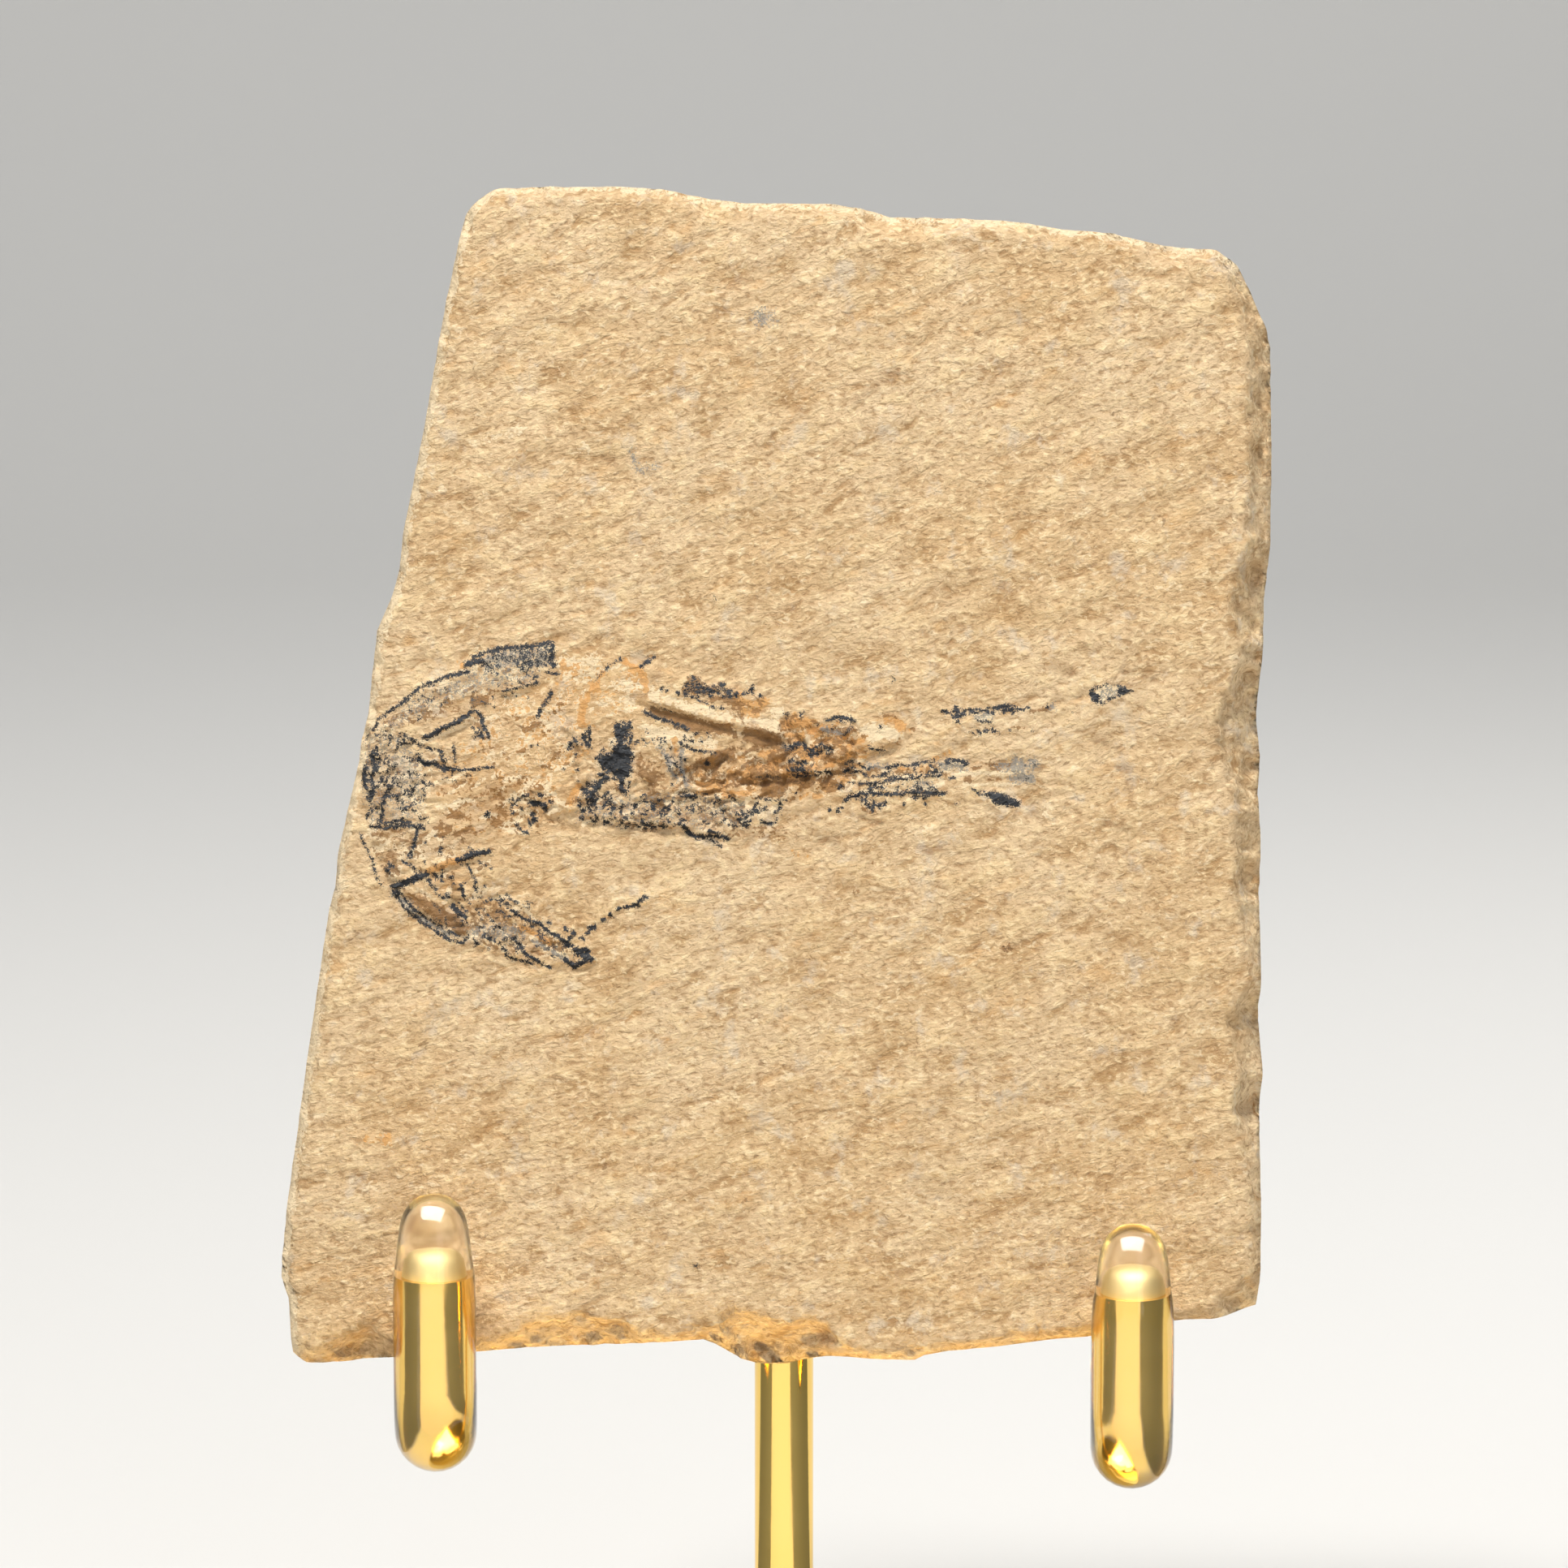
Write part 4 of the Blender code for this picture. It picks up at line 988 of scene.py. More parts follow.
stroke("black", 0.46, (-18, -12), (-17.2, -12.5), (-16.8, -12.8))
stroke("orange", 0.42, (-20.8, -11.3), (-19, -12.2), (-18.2, -12.8))
stroke("cream", 0.45, (-20, -12.1), (-18.4, -13), (-17.2, -13.7))
stroke("grey", 0.3, (-19.8, -12.4), (-18.2, -13.3), (-17.1, -14.0))
stroke("black", 0.4, (-21.3, -12.2), (-20.8, -12.8), (-20.4, -13.4), (-19.5, -13.9))
stroke("black", 0.3, (-21.6, -13.7), (-20.8, -13.9), (-19.9, -14.2))
stroke("black", 0.26, (-22.2, -12.8), (-21.8, -13.3), (-22, -13.6))
stroke("black", 0.3, (-19.3, -14.1), (-18.5, -14.5))
dots("black", 0.35, (-24.3, -12.6), (-23.3, -13), (-22.5, -12.6), (-20.2, -13.6), (-22.9, -11.4))
patch(
    "black", 0.9, (-16.9, -12.7), (-15.4, -12.9), (-15.1, -13.5), (-15.6, -13.9), (-16.6, -13.6),
    border=0.25,
)
stroke("black", 0.46, (-17.3, -13.9), (-16.6, -14.4), (-15.9, -14.0), (-15.2, -13.8))
dots("black", 0.46, (-16.6, -11.8), (-15.9, -12.2), (-15.3, -11.4), (-17.2, -11.5), (-18.6, -10.9))
dots("black", 0.46, (-16.9, -12.2), (-15.0, -11.3), (-14.2, -10.8), (-13.7, -10.3), (-13.1, -9.9))
dots("black", 0.44, (-12.3, -9.7), (-11.6, -9.6), (-11.3, -9.2), (-11, -8.9), (-15.5, -11.7))
stroke("black", 0.3, (-12.6, -9.8), (-11.7, -9.5), (-11.1, -9.0))

# %% [markdown]
# ### Middle of the body and the big blot
# Between the tail and the head the body is bare cream stone with stray specks. One black blot of
# pigment stands upright in it, ragged, with a small hole through it.

# %% Draw the blot and the specks round it
MIDDLE = ((-26, 0.8), (-19, 0.6), (-17.4, -1.5), (-18.4, -4.0), (-23, -4.2), (-26, -3.4), (-27, -1))
patch("brown", 0.36, *MIDDLE, border=1.0)
nicks("cream", 0.4, 1.3, 24, *MIDDLE, rise=25)
nicks("brown", 0.24, 1.0, 20, *MIDDLE, rise=25, strength=0.75)
stroke("black", 0.28, (-21.4, -1.6), (-20.7, -1.0), (-20.2, -0.9))
dots("cream", 0.3, (-21.0, -1.3), (-20.4, -1.3))
stroke("black", 0.45, (-20, -1.5), (-18.9, -1.6), (-18.9, -2.0))
dots("black", 0.5, (-23.4, -2.4), (-19.2, -0.9))
stroke("black", 0.36, (-19.9, -2.4), (-19.6, -2.8), (-20.1, -3.1))
stroke("black", 0.3, (-21.1, -3.2), (-20.9, -3.5), (-20.3, -3.8))
speckle("black", 0.26, 14, (-21.8, -0.8), (-18.2, -0.8), (-18.2, -3.8), (-21.6, -3.8))
dots("black", 0.2, (-20, 3.0), (-19.5, 3.1), (-19, 2.9))
stroke("black", 0.34, (-15.4, 4.4), (-15.8, 3.6), (-15.4, 2.9), (-15.3, 3.8), (-15.4, 4.4))
patch("black", 0.5, (-17.0, 3.7), (-15.2, 3.8), (-15.3, 2.7), (-17.0, 2.8))
speckle("black", 0.28, 10, (-17.2, 3.8), (-15.2, 3.8), (-15.2, 2.0), (-17.0, 2.0))
patch("brown", 0.6, (-18.6, 2.6), (-17.6, 2.7), (-17.5, 2.0), (-18.5, 2.0))
dots("black", 0.24, (-16.5, 1.9), (-16.3, 1.1), (-16.2, 0.2), (-17.4, 1.2))
patch(
    "black", 1.0, (-13.4, 4.7), (-12.8, 4.9), (-12.0, 4.9), (-12, 4.3), (-12.5, 3.9), (-12.6, 3.2),
    (-12, 2.9), (-11.8, 2.2), (-12.1, 1.7), (-11.9, 1.1), (-12.1, 0.6), (-12.6, 0.3), (-12.6, -0.3),
    (-12.3, -1.2), (-13, -0.5), (-13.2, 0.3), (-13.6, 0.9), (-14.6, 1.3), (-14.7, 2.3), (-13.7, 2.5),
    (-13.2, 3.2), (-13.4, 3.9),
    border=0.3,
)
BLOT_ROUND = ((-14.9, 2.6), (-13.2, 4.9), (-11.8, 4.9), (-11.6, 1.0), (-12.2, -1.2), (-13.6, -0.6))
BLOT_HEART = ((-14.6, 2.2), (-12.6, 4.6), (-11.9, 2.6), (-12.4, 0.2), (-13.8, 0.8))
nicks("black", 0.24, 0.6, 16, *BLOT_ROUND, rise=60)
nicks("cream", 0.22, 0.4, 9, *BLOT_HEART, rise=40, strength=0.9)
nicks("grey", 0.26, 0.4, 9, *BLOT_HEART, rise=40)
dots("cream", 0.34, (-14.0, 1.9), (-12.95, 2.9), (-12.4, 0.0))
stroke("black", 0.42, (-14.5, 0.8), (-13.8, 0.4))
stroke("black", 0.45, (-14.2, 0.4), (-15, -0.7), (-15.9, -0.4))
stroke("black", 0.34, (-15.2, -0.8), (-14.9, -1.8))
nicks("black", 0.26, 0.6, 12, (-16, 0.2), (-13.4, 0.6), (-13.2, -1.4), (-15.4, -2), rise=50)
stroke("orange", 0.55, (-16.2, -0.2), (-16.6, -0.8), (-16.9, -1.4))
patch("brown", 0.5, (-13.2, 0.2), (-12.2, -0.2), (-12.3, -1.4), (-13.8, -1.2))

# %% [markdown]
# ### The head
# Warm orange seams cross the head shield and meet over a smooth patch. The beak ahead of it is a
# mottle of black and dark brown over amber. Under it runs a long trough, brown from shell and
# from painted shade, beneath a ledge of stone with a painted highlight along its top.

# %% Draw the seams, the beak and the trough
patch("cream", 0.7, (-18, 10.3), (-14.4, 10.3), (-14.2, 8.6), (-15.6, 7.8), (-17.8, 8))
patch("cream", 0.8, (-13.8, 8.3), (-11.8, 8.4), (-10.9, 7.5), (-12.6, 7.0), (-13.8, 7.4))
patch("orange", 0.5, (-13.3, 9.4), (-11.8, 9.3), (-11.1, 8.4), (-12.4, 8.2))
HEAD = ((-18.2, 10.2), (-14, 10.2), (-11.2, 9.2), (-10.8, 7.4), (-12.4, 5.2), (-15.2, 4.6), (-17.8, 6.4))
patch("orange", 0.36, *HEAD, border=0.8)
nicks("cream", 0.34, 1.1, 20, *HEAD, rise=25)
stroke("orange", 0.25, (-17.4, 9.8), (-17.6, 8.2), (-17.9, 7.8))
stroke("orange", 0.3, (-14.2, 8.8), (-14.8, 8), (-15.3, 7.3), (-15.6, 6.4))
stroke("orange", 0.6, (-15.8, 6.3), (-16, 5.2), (-15.9, 4.7))
stroke("black", 0.2, (-13, 9.9), (-13.9, 9.2), (-14.8, 8.3), strength=0.9)
dots("black", 0.34, (-13, 9.85))
stroke("orange", 0.5, (-12.5, 9.6), (-11.6, 9.2), (-11, 8.4), (-10.9, 7.4))
stroke("black", 0.4, (-11.0, 9.6), (-10.6, 9.75))
dots("black", 0.3, (-10.3, 9.95), (-9.6, 7.5), (-9.2, 7.4), (-8.4, 7.2), (-11.3, 9.3))
BEAK = ((-7.9, 7.9), (-7.1, 8.6), (-6.2, 7.9), (-4.5, 7.8), (-3.4, 7.3), (-3.7, 6.9), (-6, 6.8), (-7.8, 7))
patch("brown", 0.75, *BEAK)
patch("black", 0.62, *BEAK)
speckle("black", 0.34, 20, *BEAK)
speckle("orange", 0.34, 8, *BEAK)
dots("orange", 0.5, (-6.9, 7.5))
stroke("black", 0.4, (-6.4, 7.6), (-5.8, 7.4))
speckle("black", 0.26, 12, (-5.2, 7.9), (-1.4, 7.5), (-1.4, 6.9), (-4.8, 7.0))
patch("brown", 1.0, (-6, 7.15), (-3.8, 7.1), (-3.7, 6.3), (-5.8, 6.3))
stroke("cream", 0.22, (-5.7, 6.6), (-4.2, 6.9), strength=0.8)
patch("orange", 0.9, (-4, 6.7), (-1.2, 6.7), (-1.2, 6.0), (-3.9, 6.0))
patch("orange", 0.7, (-3.6, 6.2), (-1.8, 6.2), (-1.7, 5.2), (-3.4, 5.2))
nicks("brown", 0.22, 0.8, 12, (-4.4, 6.6), (-1.2, 6.6), (-1.2, 5.2), (-4, 5.4), rise=-15)
stroke("black", 0.24, (-7.9, 7), (-7, 6.8), (-6.4, 6.5), (-5.8, 6.1), (-4.8, 5.95), strength=0.85)
patch("cream", 0.9, (-1.2, 6.1), (0, 6.0), (0.1, 5.4), (-0.6, 5.2), (-1.1, 5.5))
patch("black", 0.85, (0.0, 5.75), (0.35, 5.8), (0.4, 5.3), (0.1, 5.2))
patch("black", 0.95, (1.2, 5.8), (1.6, 5.7), (1.5, 5.1), (1.2, 5.2))
patch("orange", 1.0, (-0.3, 4.9), (0.4, 5.2), (0.8, 5.6), (1.3, 5.3), (2.6, 5.1), (2, 4.3), (-0.3, 4.2))
nicks("brown", 0.24, 1.0, 8, (-0.3, 4.9), (0.8, 5.4), (2.6, 5.0), (2, 4.3), (-0.3, 4.2), rise=0)
# The trough under the ledge: brown shell with painted shade
patch(
    "brown", 0.95, (-10.8, 6.2), (-9, 5.75), (-8, 5.5), (-5, 4.75), (-4, 4.6), (-3.6, 3.6),
    (-4.5, 3.9), (-6, 4.05), (-7.9, 4.3), (-9.5, 5.0), (-11, 5.6),
)
# A black line of painted shadow along the top of the trough
stroke("black", 0.3, (-10.7, 6.1), (-9.6, 5.85), (-8.4, 5.6), strength=0.6)
# The trough's right end, brown with painted shade
patch("brown", 1.0, (-3.3, 4.6), (-0.1, 3.8), (-0.3, 2.6), (-1.5, 2.8), (-3.3, 3.4))
stroke("brown", 0.5, (-3.0, 4.2), (-0.4, 3.6))
stroke("black", 0.34, (-11, 5.7), (-10, 5.2), (-9, 4.9), (-8, 4.5), (-7.6, 4.3))
# A painted highlight along the lit top of the ledge above the trough
stroke(
    "cream", 0.9, (-10.7, 7.35), (-9, 6.45), (-7, 5.95), (-5, 5.5), (-3.2, 5.2), (-1.5, 5.0), (0, 4.35),
    strength=0.7,
)
patch("cream", 0.7, (-11.3, 5), (-7.8, 4.1), (-5, 3.6), (-5.4, 2.9), (-8, 2.7), (-11, 3.0))
speckle("black", 0.22, 14, (-11, 4.3), (-9.2, 3.8), (-9.2, 3.1), (-11.4, 3.1))
speckle("black", 0.2, 16, (-8.2, 4.2), (-5.4, 4.0), (-5.5, 3.3), (-8.2, 3.2))
stroke("black", 0.26, (-8, 3), (-7, 2.7), (-6, 2.5), (-5.5, 2.4))
stroke("orange", 0.4, (-8.6, 3.5), (-8.5, 2.3))
patch("brown", 0.5, (-12, 2.2), (-9.3, 2.3), (-9.2, -0.8), (-11, -0.6), (-12, 1.0), border=0.6)
# Brown under the second ledge, shell tone and painted shade
patch(
    "brown", 0.95, (-7.8, 1.0), (-7, 1.7), (-5.8, 2.3), (-4, 2.9), (-4, 1.6), (-5.5, 1.5), (-6.5, 1.0)
)
dots("black", 0.5, (-6.1, 1.7))
stroke("grey", 0.35, (-9.8, 2.9), (-9.1, 1.9), (-9, 1.1), (-8.4, 0.4))
stroke("grey", 0.35, (-8.1, 2.8), (-8.1, 1.2), (-7.8, 0.4), (-7.7, -0.3))
stroke("black", 0.18, (-9.7, 2.8), (-9.2, 1.9), (-9.0, 1.1), strength=0.85)
stroke("black", 0.18, (-8.2, 2.2), (-8.15, 1.2), (-7.9, 0.4), strength=0.85)
speckle("black", 0.2, 12, (-9.9, 2.9), (-7.6, 2.7), (-7.4, -0.4), (-9, 0))

# %% [markdown]
# ### The belly
# Along the underside lie the bases of the swimming legs: a row of small black blobs and rings,
# with one thicker navy line and a red brown pit near the middle.

# %% Draw the belly
BELLY = (
    (-16.4, -0.8), (-12, -1.0), (-8, -0.6), (-3.2, -1.2), (-2.6, -3.4), (-8, -3.6), (-12, -3.4),
    (-16.4, -3.0),
)
patch("brown", 0.4, *BELLY, border=0.7)
patch("grey", 0.36, *BELLY)
nicks("cream", 0.34, 0.9, 40, *BELLY)
nicks("brown", 0.24, 0.9, 34, *BELLY, strength=0.9)
nicks("black", 0.22, 0.6, 40, *BELLY, strength=0.95)
speckle("black", 0.26, 34, *BELLY)
speckle("cream", 0.3, 18, *BELLY)
speckle("black", 0.3, 10, (-15.5, -0.8), (-14.8, -0.8), (-14.6, -2), (-15.5, -2.0))
dots("black", 0.5, (-15.9, -2.1), (-14, -3), (-13.6, -1.8), (-11.8, -1.7), (-10.3, -1.9))
dots("black", 0.38, (-9.8, -1.2), (-9.6, -3.35), (-8.2, -3.2), (-11.0, -2.4), (-12.9, -2.2))
stroke("black", 0.22, (-15.3, -2.7), (-15, -2.4), (-14.7, -2.7), (-15, -3.0), (-15.3, -2.7))
dots("cream", 0.34, (-15, -2.7))
stroke("black", 0.24, (-12.9, -2.9), (-12.6, -2.6), (-12.3, -2.9))
stroke("black", 0.35, (-11.3, -2.8), (-10.5, -3.4))
stroke("black", 0.42, (-8, -0.9), (-7, -1))
stroke("black", 0.3, (-9.9, -3.3), (-9.3, -3.4))
stroke("black", 0.4, (-7.9, -3.4), (-7.5, -3.9), (-7, -4.15), (-5.5, -4.1), (-4.5, -4.25))
stroke("cream", 0.24, (-7.2, -3.75), (-5.6, -3.8), (-4.6, -3.95))
stroke("black", 0.3, (-5.9, -3.7), (-5.1, -3.95))
stroke("black", 0.22, (-6, -4.4), (-5, -4.9))
SHELLS = ((-3.6, -1.6), (-0.2, -1.4), (-0.2, -3.2), (-3.4, -3.4))
nicks("black", 0.26, 0.5, 12, *SHELLS)
nicks("cream", 0.36, 0.7, 10, *SHELLS)
dots("black", 0.36, (-0.6, -2.8), (-0.3, -1.6), (-1.5, -1.9))
stroke("black", 0.3, (-1.8, -3), (-0.9, -3.15))
patch("brown", 1.0, (-2, -1.0), (-1.8, 0.4), (0.4, 0.4), (0.2, -0.9), (-0.6, -1.2))
patch("orange", 0.7, (-2, -0.1), (-0.2, 0.0), (-0.6, -0.8), (-1.9, -0.8))
stroke("black", 0.28, (-2, -1.05), (-1, -1.25), (0.1, -1.2), strength=0.85)
for v, reach in ((-3.4, 0.2), (-3.75, 0.5), (-4.1, 1.0)):
    stroke("brown", 0.24, (-5.6, v + 0.2), (-3.0, v), (reach, v - 0.1), strength=0.65)

# %% [markdown]
# ### The leg cluster
# The crumple of legs is the richest spot: black and brown in the hollows, partly shell and
# partly painted shade, amber and orange flakes on the crests, one orange oval and a smooth cream
# mound at its right end with painted shade below it.

# %% Draw the leg cluster
CLUSTER = (
    (-9, 1.2), (-6.5, 2.0), (-3.6, 2.7), (-0.4, 2.6), (0.2, 4.2), (4.2, 4.6), (6.4, 3.2), (5.6, 1.4),
    (5.4, 0.0), (3, -0.9), (0.6, -1.2), (-3, -1.2), (-8.4, -0.6),
)
patch("brown", 0.34, *CLUSTER, border=0.8)
patch("orange", 0.4, *CLUSTER, border=0.8)
nicks("orange", 0.4, 1.1, 80, *CLUSTER, rise=15, strength=0.95)
nicks("brown", 0.3, 1.1, 66, *CLUSTER, rise=15, strength=0.95)
nicks("cream", 0.34, 1.0, 100, *CLUSTER, rise=25)
nicks("black", 0.24, 0.6, 22, (-0.4, 3.2), (3, 3.4), (5.4, 1.8), (3, 0.2), (0.4, 0.2))
speckle("cream", 0.34, 26, *CLUSTER)
stroke("black", 0.4, (0, 3), (0.5, 2.95), (1.0, 3.2), (1.6, 3.15))
patch("black", 0.8, (0.0, 3.0), (0.9, 3.0), (0.8, 2.4), (0.1, 2.4))
stroke("black", 0.32, (1.8, 2.8), (2.3, 2.65))
patch("brown", 1.0, (0.5, 1.5), (1.4, 1.5), (1.3, 0.9), (0.6, 0.9))
stroke("black", 0.4, (0.9, 1.1), (1.35, 1.25))
patch("brown", 0.8, (1, 0.95), (2.8, 0.95), (2.8, 0.3), (1.1, 0.3))
stroke("black", 0.28, (1.1, 0.7), (2.7, 0.6), strength=0.9)
# Brown and black lines of painted shadow under the cluster's ledge
stroke("brown", 0.6, (-2.3, 0.9), (-1.4, 0.55), (0, 0.6))
stroke("black", 0.26, (-2.0, 0.6), (-0.4, 0.5), strength=0.8)
patch("brown", 0.95, (-0.5, 1.4), (0.9, 2.0), (1.0, 1.3), (0, 1.0))
patch("brown", 0.95, (2.9, 2.1), (4.9, 2.3), (4.8, 1.9), (3.0, 1.7))
patch("brown", 1.0, (3.9, 1.7), (4.8, 1.8), (5.4, 1.2), (4.4, 1.0))
stroke("black", 0.3, (4.7, 1.0), (5.5, 1.3))
stroke("black", 0.22, (4.9, 1.6), (5.4, 1.8), (5.9, 1.5), (6.3, 1.35), (6.8, 1.3), strength=0.9)
patch("orange", 0.95, (4.2, 0.6), (5.4, 0.6), (5.3, 0.0), (4.4, 0.0))
stroke("black", 0.2, (4.2, -0.2), (4.4, 0), (4.6, -0.2), (4.4, -0.4), (4.2, -0.2))
patch("brown", 0.9, (2.8, 0.2), (4.2, 0.9), (4.0, 0.2), (3.0, -0.5))
stroke("cream", 0.5, (1.5, 1.0), (2.5, 1.5))
stroke("cream", 0.5, (-2, 4.9), (-1, 4.3), (0.0, 3.85))
stroke("black", 0.36, (3.4, 5), (4.1, 5.2), (4.7, 5.25), (5.1, 5.1), (5.5, 4.95))
patch("black", 0.7, (3.8, 5.3), (4.8, 5.3), (4.8, 5.0), (3.9, 4.9))
patch("cream", 0.95, (4.5, 4.6), (5.3, 4.5), (5.1, 3.95), (4.5, 4.1))
stroke("black", 0.22, (5.3, 4.5), (5.1, 4.1), (4.8, 3.95))
dots("black", 0.28, (4.8, 4.8), (2.65, 4.7), (3.8, 4.4), (5.2, 4.2), (7.6, 4.55), (0.9, -0.75))
stroke("grey", 0.3, (3.0, 4.35), (3.8, 4.15), (4.4, 4.0))
patch("orange", 0.9, (4, 3.9), (4.6, 3.8), (4.6, 3.2), (4.0, 3.2))
patch("orange", 0.8, (5.2, 3), (6.6, 2.9), (6.8, 2.4), (5.3, 2.3))
stroke("black", 0.26, (6.8, 2.85), (7.4, 2.75), (7.9, 2.6), strength=0.9)
patch(
    "orange", 1.0, (7.2, 5.0), (7.7, 5.35), (8.8, 5.3), (9.5, 4.8), (9.9, 4.1), (9.2, 4.1), (8.7, 4.6),
    (7.8, 4.9),
)
stroke("brown", 0.22, (7.4, 5.2), (7.9, 5.42), (8.8, 5.35), strength=0.9)
patch("cream", 0.95, (6, 4.6), (7, 4.95), (8.6, 4.5), (9.5, 4.0), (9.0, 3.5), (7.2, 3.4), (6.2, 3.5))
# Painted shade below the cream mound
patch("brown", 0.45, (7.6, 3.5), (9.2, 3.6), (9.2, 3.0), (7.7, 3.0))
dots("brown", 0.3, (7.9, 3.35), (10.2, 4.4))

# %% [markdown]
# ### Feelers
# Two pairs of feelers run out to the right. The lower ones keep long jagged black strokes with
# grey film between them. The upper ones are mostly dots that lead to one loose chip of shell.

# %% Draw the lower feelers
patch("grey", 0.7, (6.4, 1.7), (8.2, 1.7), (8.5, 1.1), (6.4, 1.1))
stroke("cream", 0.4, (7.8, 1.05), (8.5, 1.1))
stroke("black", 0.26, (8.1, 1.3), (8.8, 1.4), (9.4, 1.5), (10, 1.4), (10.6, 1.55), (11, 1.75), (11.8, 1.8))
stroke("black", 0.22, (11.4, 1.7), (11.9, 1.2), (12.4, 1.5), strength=0.8)
patch("grey", 0.75, (12, 1.9), (14.5, 1.9), (14.5, 1.1), (12.1, 1.1))
stroke("black", 0.4, (12.8, 1.75), (13.2, 1.9), (13.9, 1.8), (14.5, 1.65))
dots("cream", 0.4, (13.6, 1.3), (13.8, 1.2))
patch("orange", 0.75, (9, 1.35), (11.5, 1.4), (11.4, 0.9), (9.2, 0.85))
stroke("brown", 0.2, (6.9, 1.05), (7.8, 0.95), (9, 0.95), (11.2, 1.0), strength=0.9)
stroke("black", 0.2, (6.2, 0.9), (6.6, 0.5), (7.4, 0.65), (8, 0.6), (9, 0.5), strength=0.85)
nicks("black", 0.2, 1.0, 12, (5.4, 1.0), (9, 0.9), (12.4, 1.1), (12.4, 0.5), (9, 0.3), (5.6, 0.1), rise=3)
nicks("cream", 0.26, 0.9, 22, (5.4, 1.2), (12.4, 1.6), (12.4, -0.5), (5.8, -0.6), rise=4)
nicks("brown", 0.2, 0.9, 16, (5.4, 1.2), (12.4, 1.3), (12.4, -0.2), (5.8, -0.4), rise=4, strength=0.85)
stroke(
    "black", 0.26, (6.7, 0.05), (7.5, 0.1), (8.2, 0.2), (8.9, 0.3), (9.7, 0.35), (10.5, 0.5), (11, 0.55),
    (11.6, 0.8), (12.3, 0.75),
)
stroke("black", 0.2, (6.8, -0.1), (7.6, -0.05), (8.3, 0.05), strength=0.9)
dots("black", 0.34, (12.0, 0.8), (12.2, 0.65), (13.2, 0.4), (13.4, 0.45), (10.9, 0.75))
SMUDGE = ((10.2, 0.3), (11.6, 0.3), (11.8, -0.45), (10, -0.5))
patch("grey", 0.7, *SMUDGE)
speckle("black", 0.22, 8, *SMUDGE)
stroke("black", 0.24, (6.7, -0.28), (8, -0.35))
JAGGED = (
    (4.8, -1.3), (5.4, -0.95), (6, -0.8), (6.6, -0.7), (7.5, -0.75), (8.5, -0.8), (9.2, -0.75),
    (10, -0.6), (10.8, -0.65), (11.5, -0.7), (12.3, -0.75), (12.6, -0.7),
)
stroke("black", 0.34, *JAGGED)
nicks(
    "black", 0.2, 0.5, 26, (5, -0.7), (9, -0.45), (12.4, -0.4), (12.3, -1.0), (8, -1.1), (5, -1.4),
    rise=50,
)
stroke("brown", 0.2, (9.3, -0.55), (11, -0.6))
stroke("black", 0.3, (6.45, -1.05), (6.5, -1.5), (6.8, -1.8), (7.2, -1.65), (7.6, -1.65), (8, -1.7))
nicks("black", 0.2, 0.4, 8, (6.7, -1.5), (8.1, -1.5), (8.1, -1.9), (6.7, -2.0), rise=60)
stroke("brown", 0.2, (6.2, -1.9), (6.6, -2.2), (7.2, -2.1))
dots("black", 0.36, (4.3, -1.95), (4.5, -1.85), (4.3, -2.2))
dots("black", 0.26, (9.45, -1.65), (11.2, -1.6), (13.5, -1.7), (6.2, -1.15), (3.6, -2.05), (12.8, -0.7))
patch("brown", 0.6, (14.2, 0.6), (17.7, 0.6), (17.6, 0.1), (14.2, 0.05))
stroke("cream", 0.34, (13.3, 0.75), (15, 0.8), (17, 0.9), (18, 0.85))
stroke("cream", 0.26, (14.2, -0.05), (16.5, 0.0), (18.4, 0.0))
stroke("brown", 0.22, (16, 1.6), (17, 1.5), (17.8, 1.55))
stroke("brown", 0.2, (14.9, 1.2), (15.6, 1.3), (17, 1.1))
patch("grey", 0.65, (16.6, 1.6), (20.2, 1.9), (20.2, 1.1), (17, 1.0))
patch("black", 0.44, (18.8, 1.8), (20.2, 2.0), (20.2, 1.4), (18.9, 1.2))
nicks("grey", 0.3, 0.7, 12, (17.8, 1.7), (20, 1.9), (20, 1.2), (18, 1.1), rise=70)
patch("grey", 0.85, (17.7, 0.9), (19.8, 0.8), (19.7, 0.1), (17.8, 0.15))
patch("black", 0.44, (18.6, 0.7), (19.6, 0.7), (19.4, 0.2), (18.6, 0.2))
patch(
    "black", 1.0, (14.7, -0.35), (15.6, -0.65), (16.2, -0.5), (17, -0.6), (17.6, -0.85), (18.2, -1.1),
    (18.7, -1.3), (18.6, -1.7), (18.1, -2.0), (17.5, -1.7), (16.7, -1.65), (16.3, -1.25), (15.9, -0.95),
    (15.1, -0.75),
    border=0.3,
)
patch("cream", 0.95, (14.1, -0.25), (14.5, -0.4), (14.8, -0.95), (14.4, -0.8))
dots("orange", 0.3, (11.9, 2.0), (12.2, 2.05), (12.7, 2.4), (13.1, 2.6))
dots("black", 0.22, (12.4, 2.15))

# %% [markdown]
# The upper pair is faint. A row of dots and one pale oval lie between the animal and the chip.

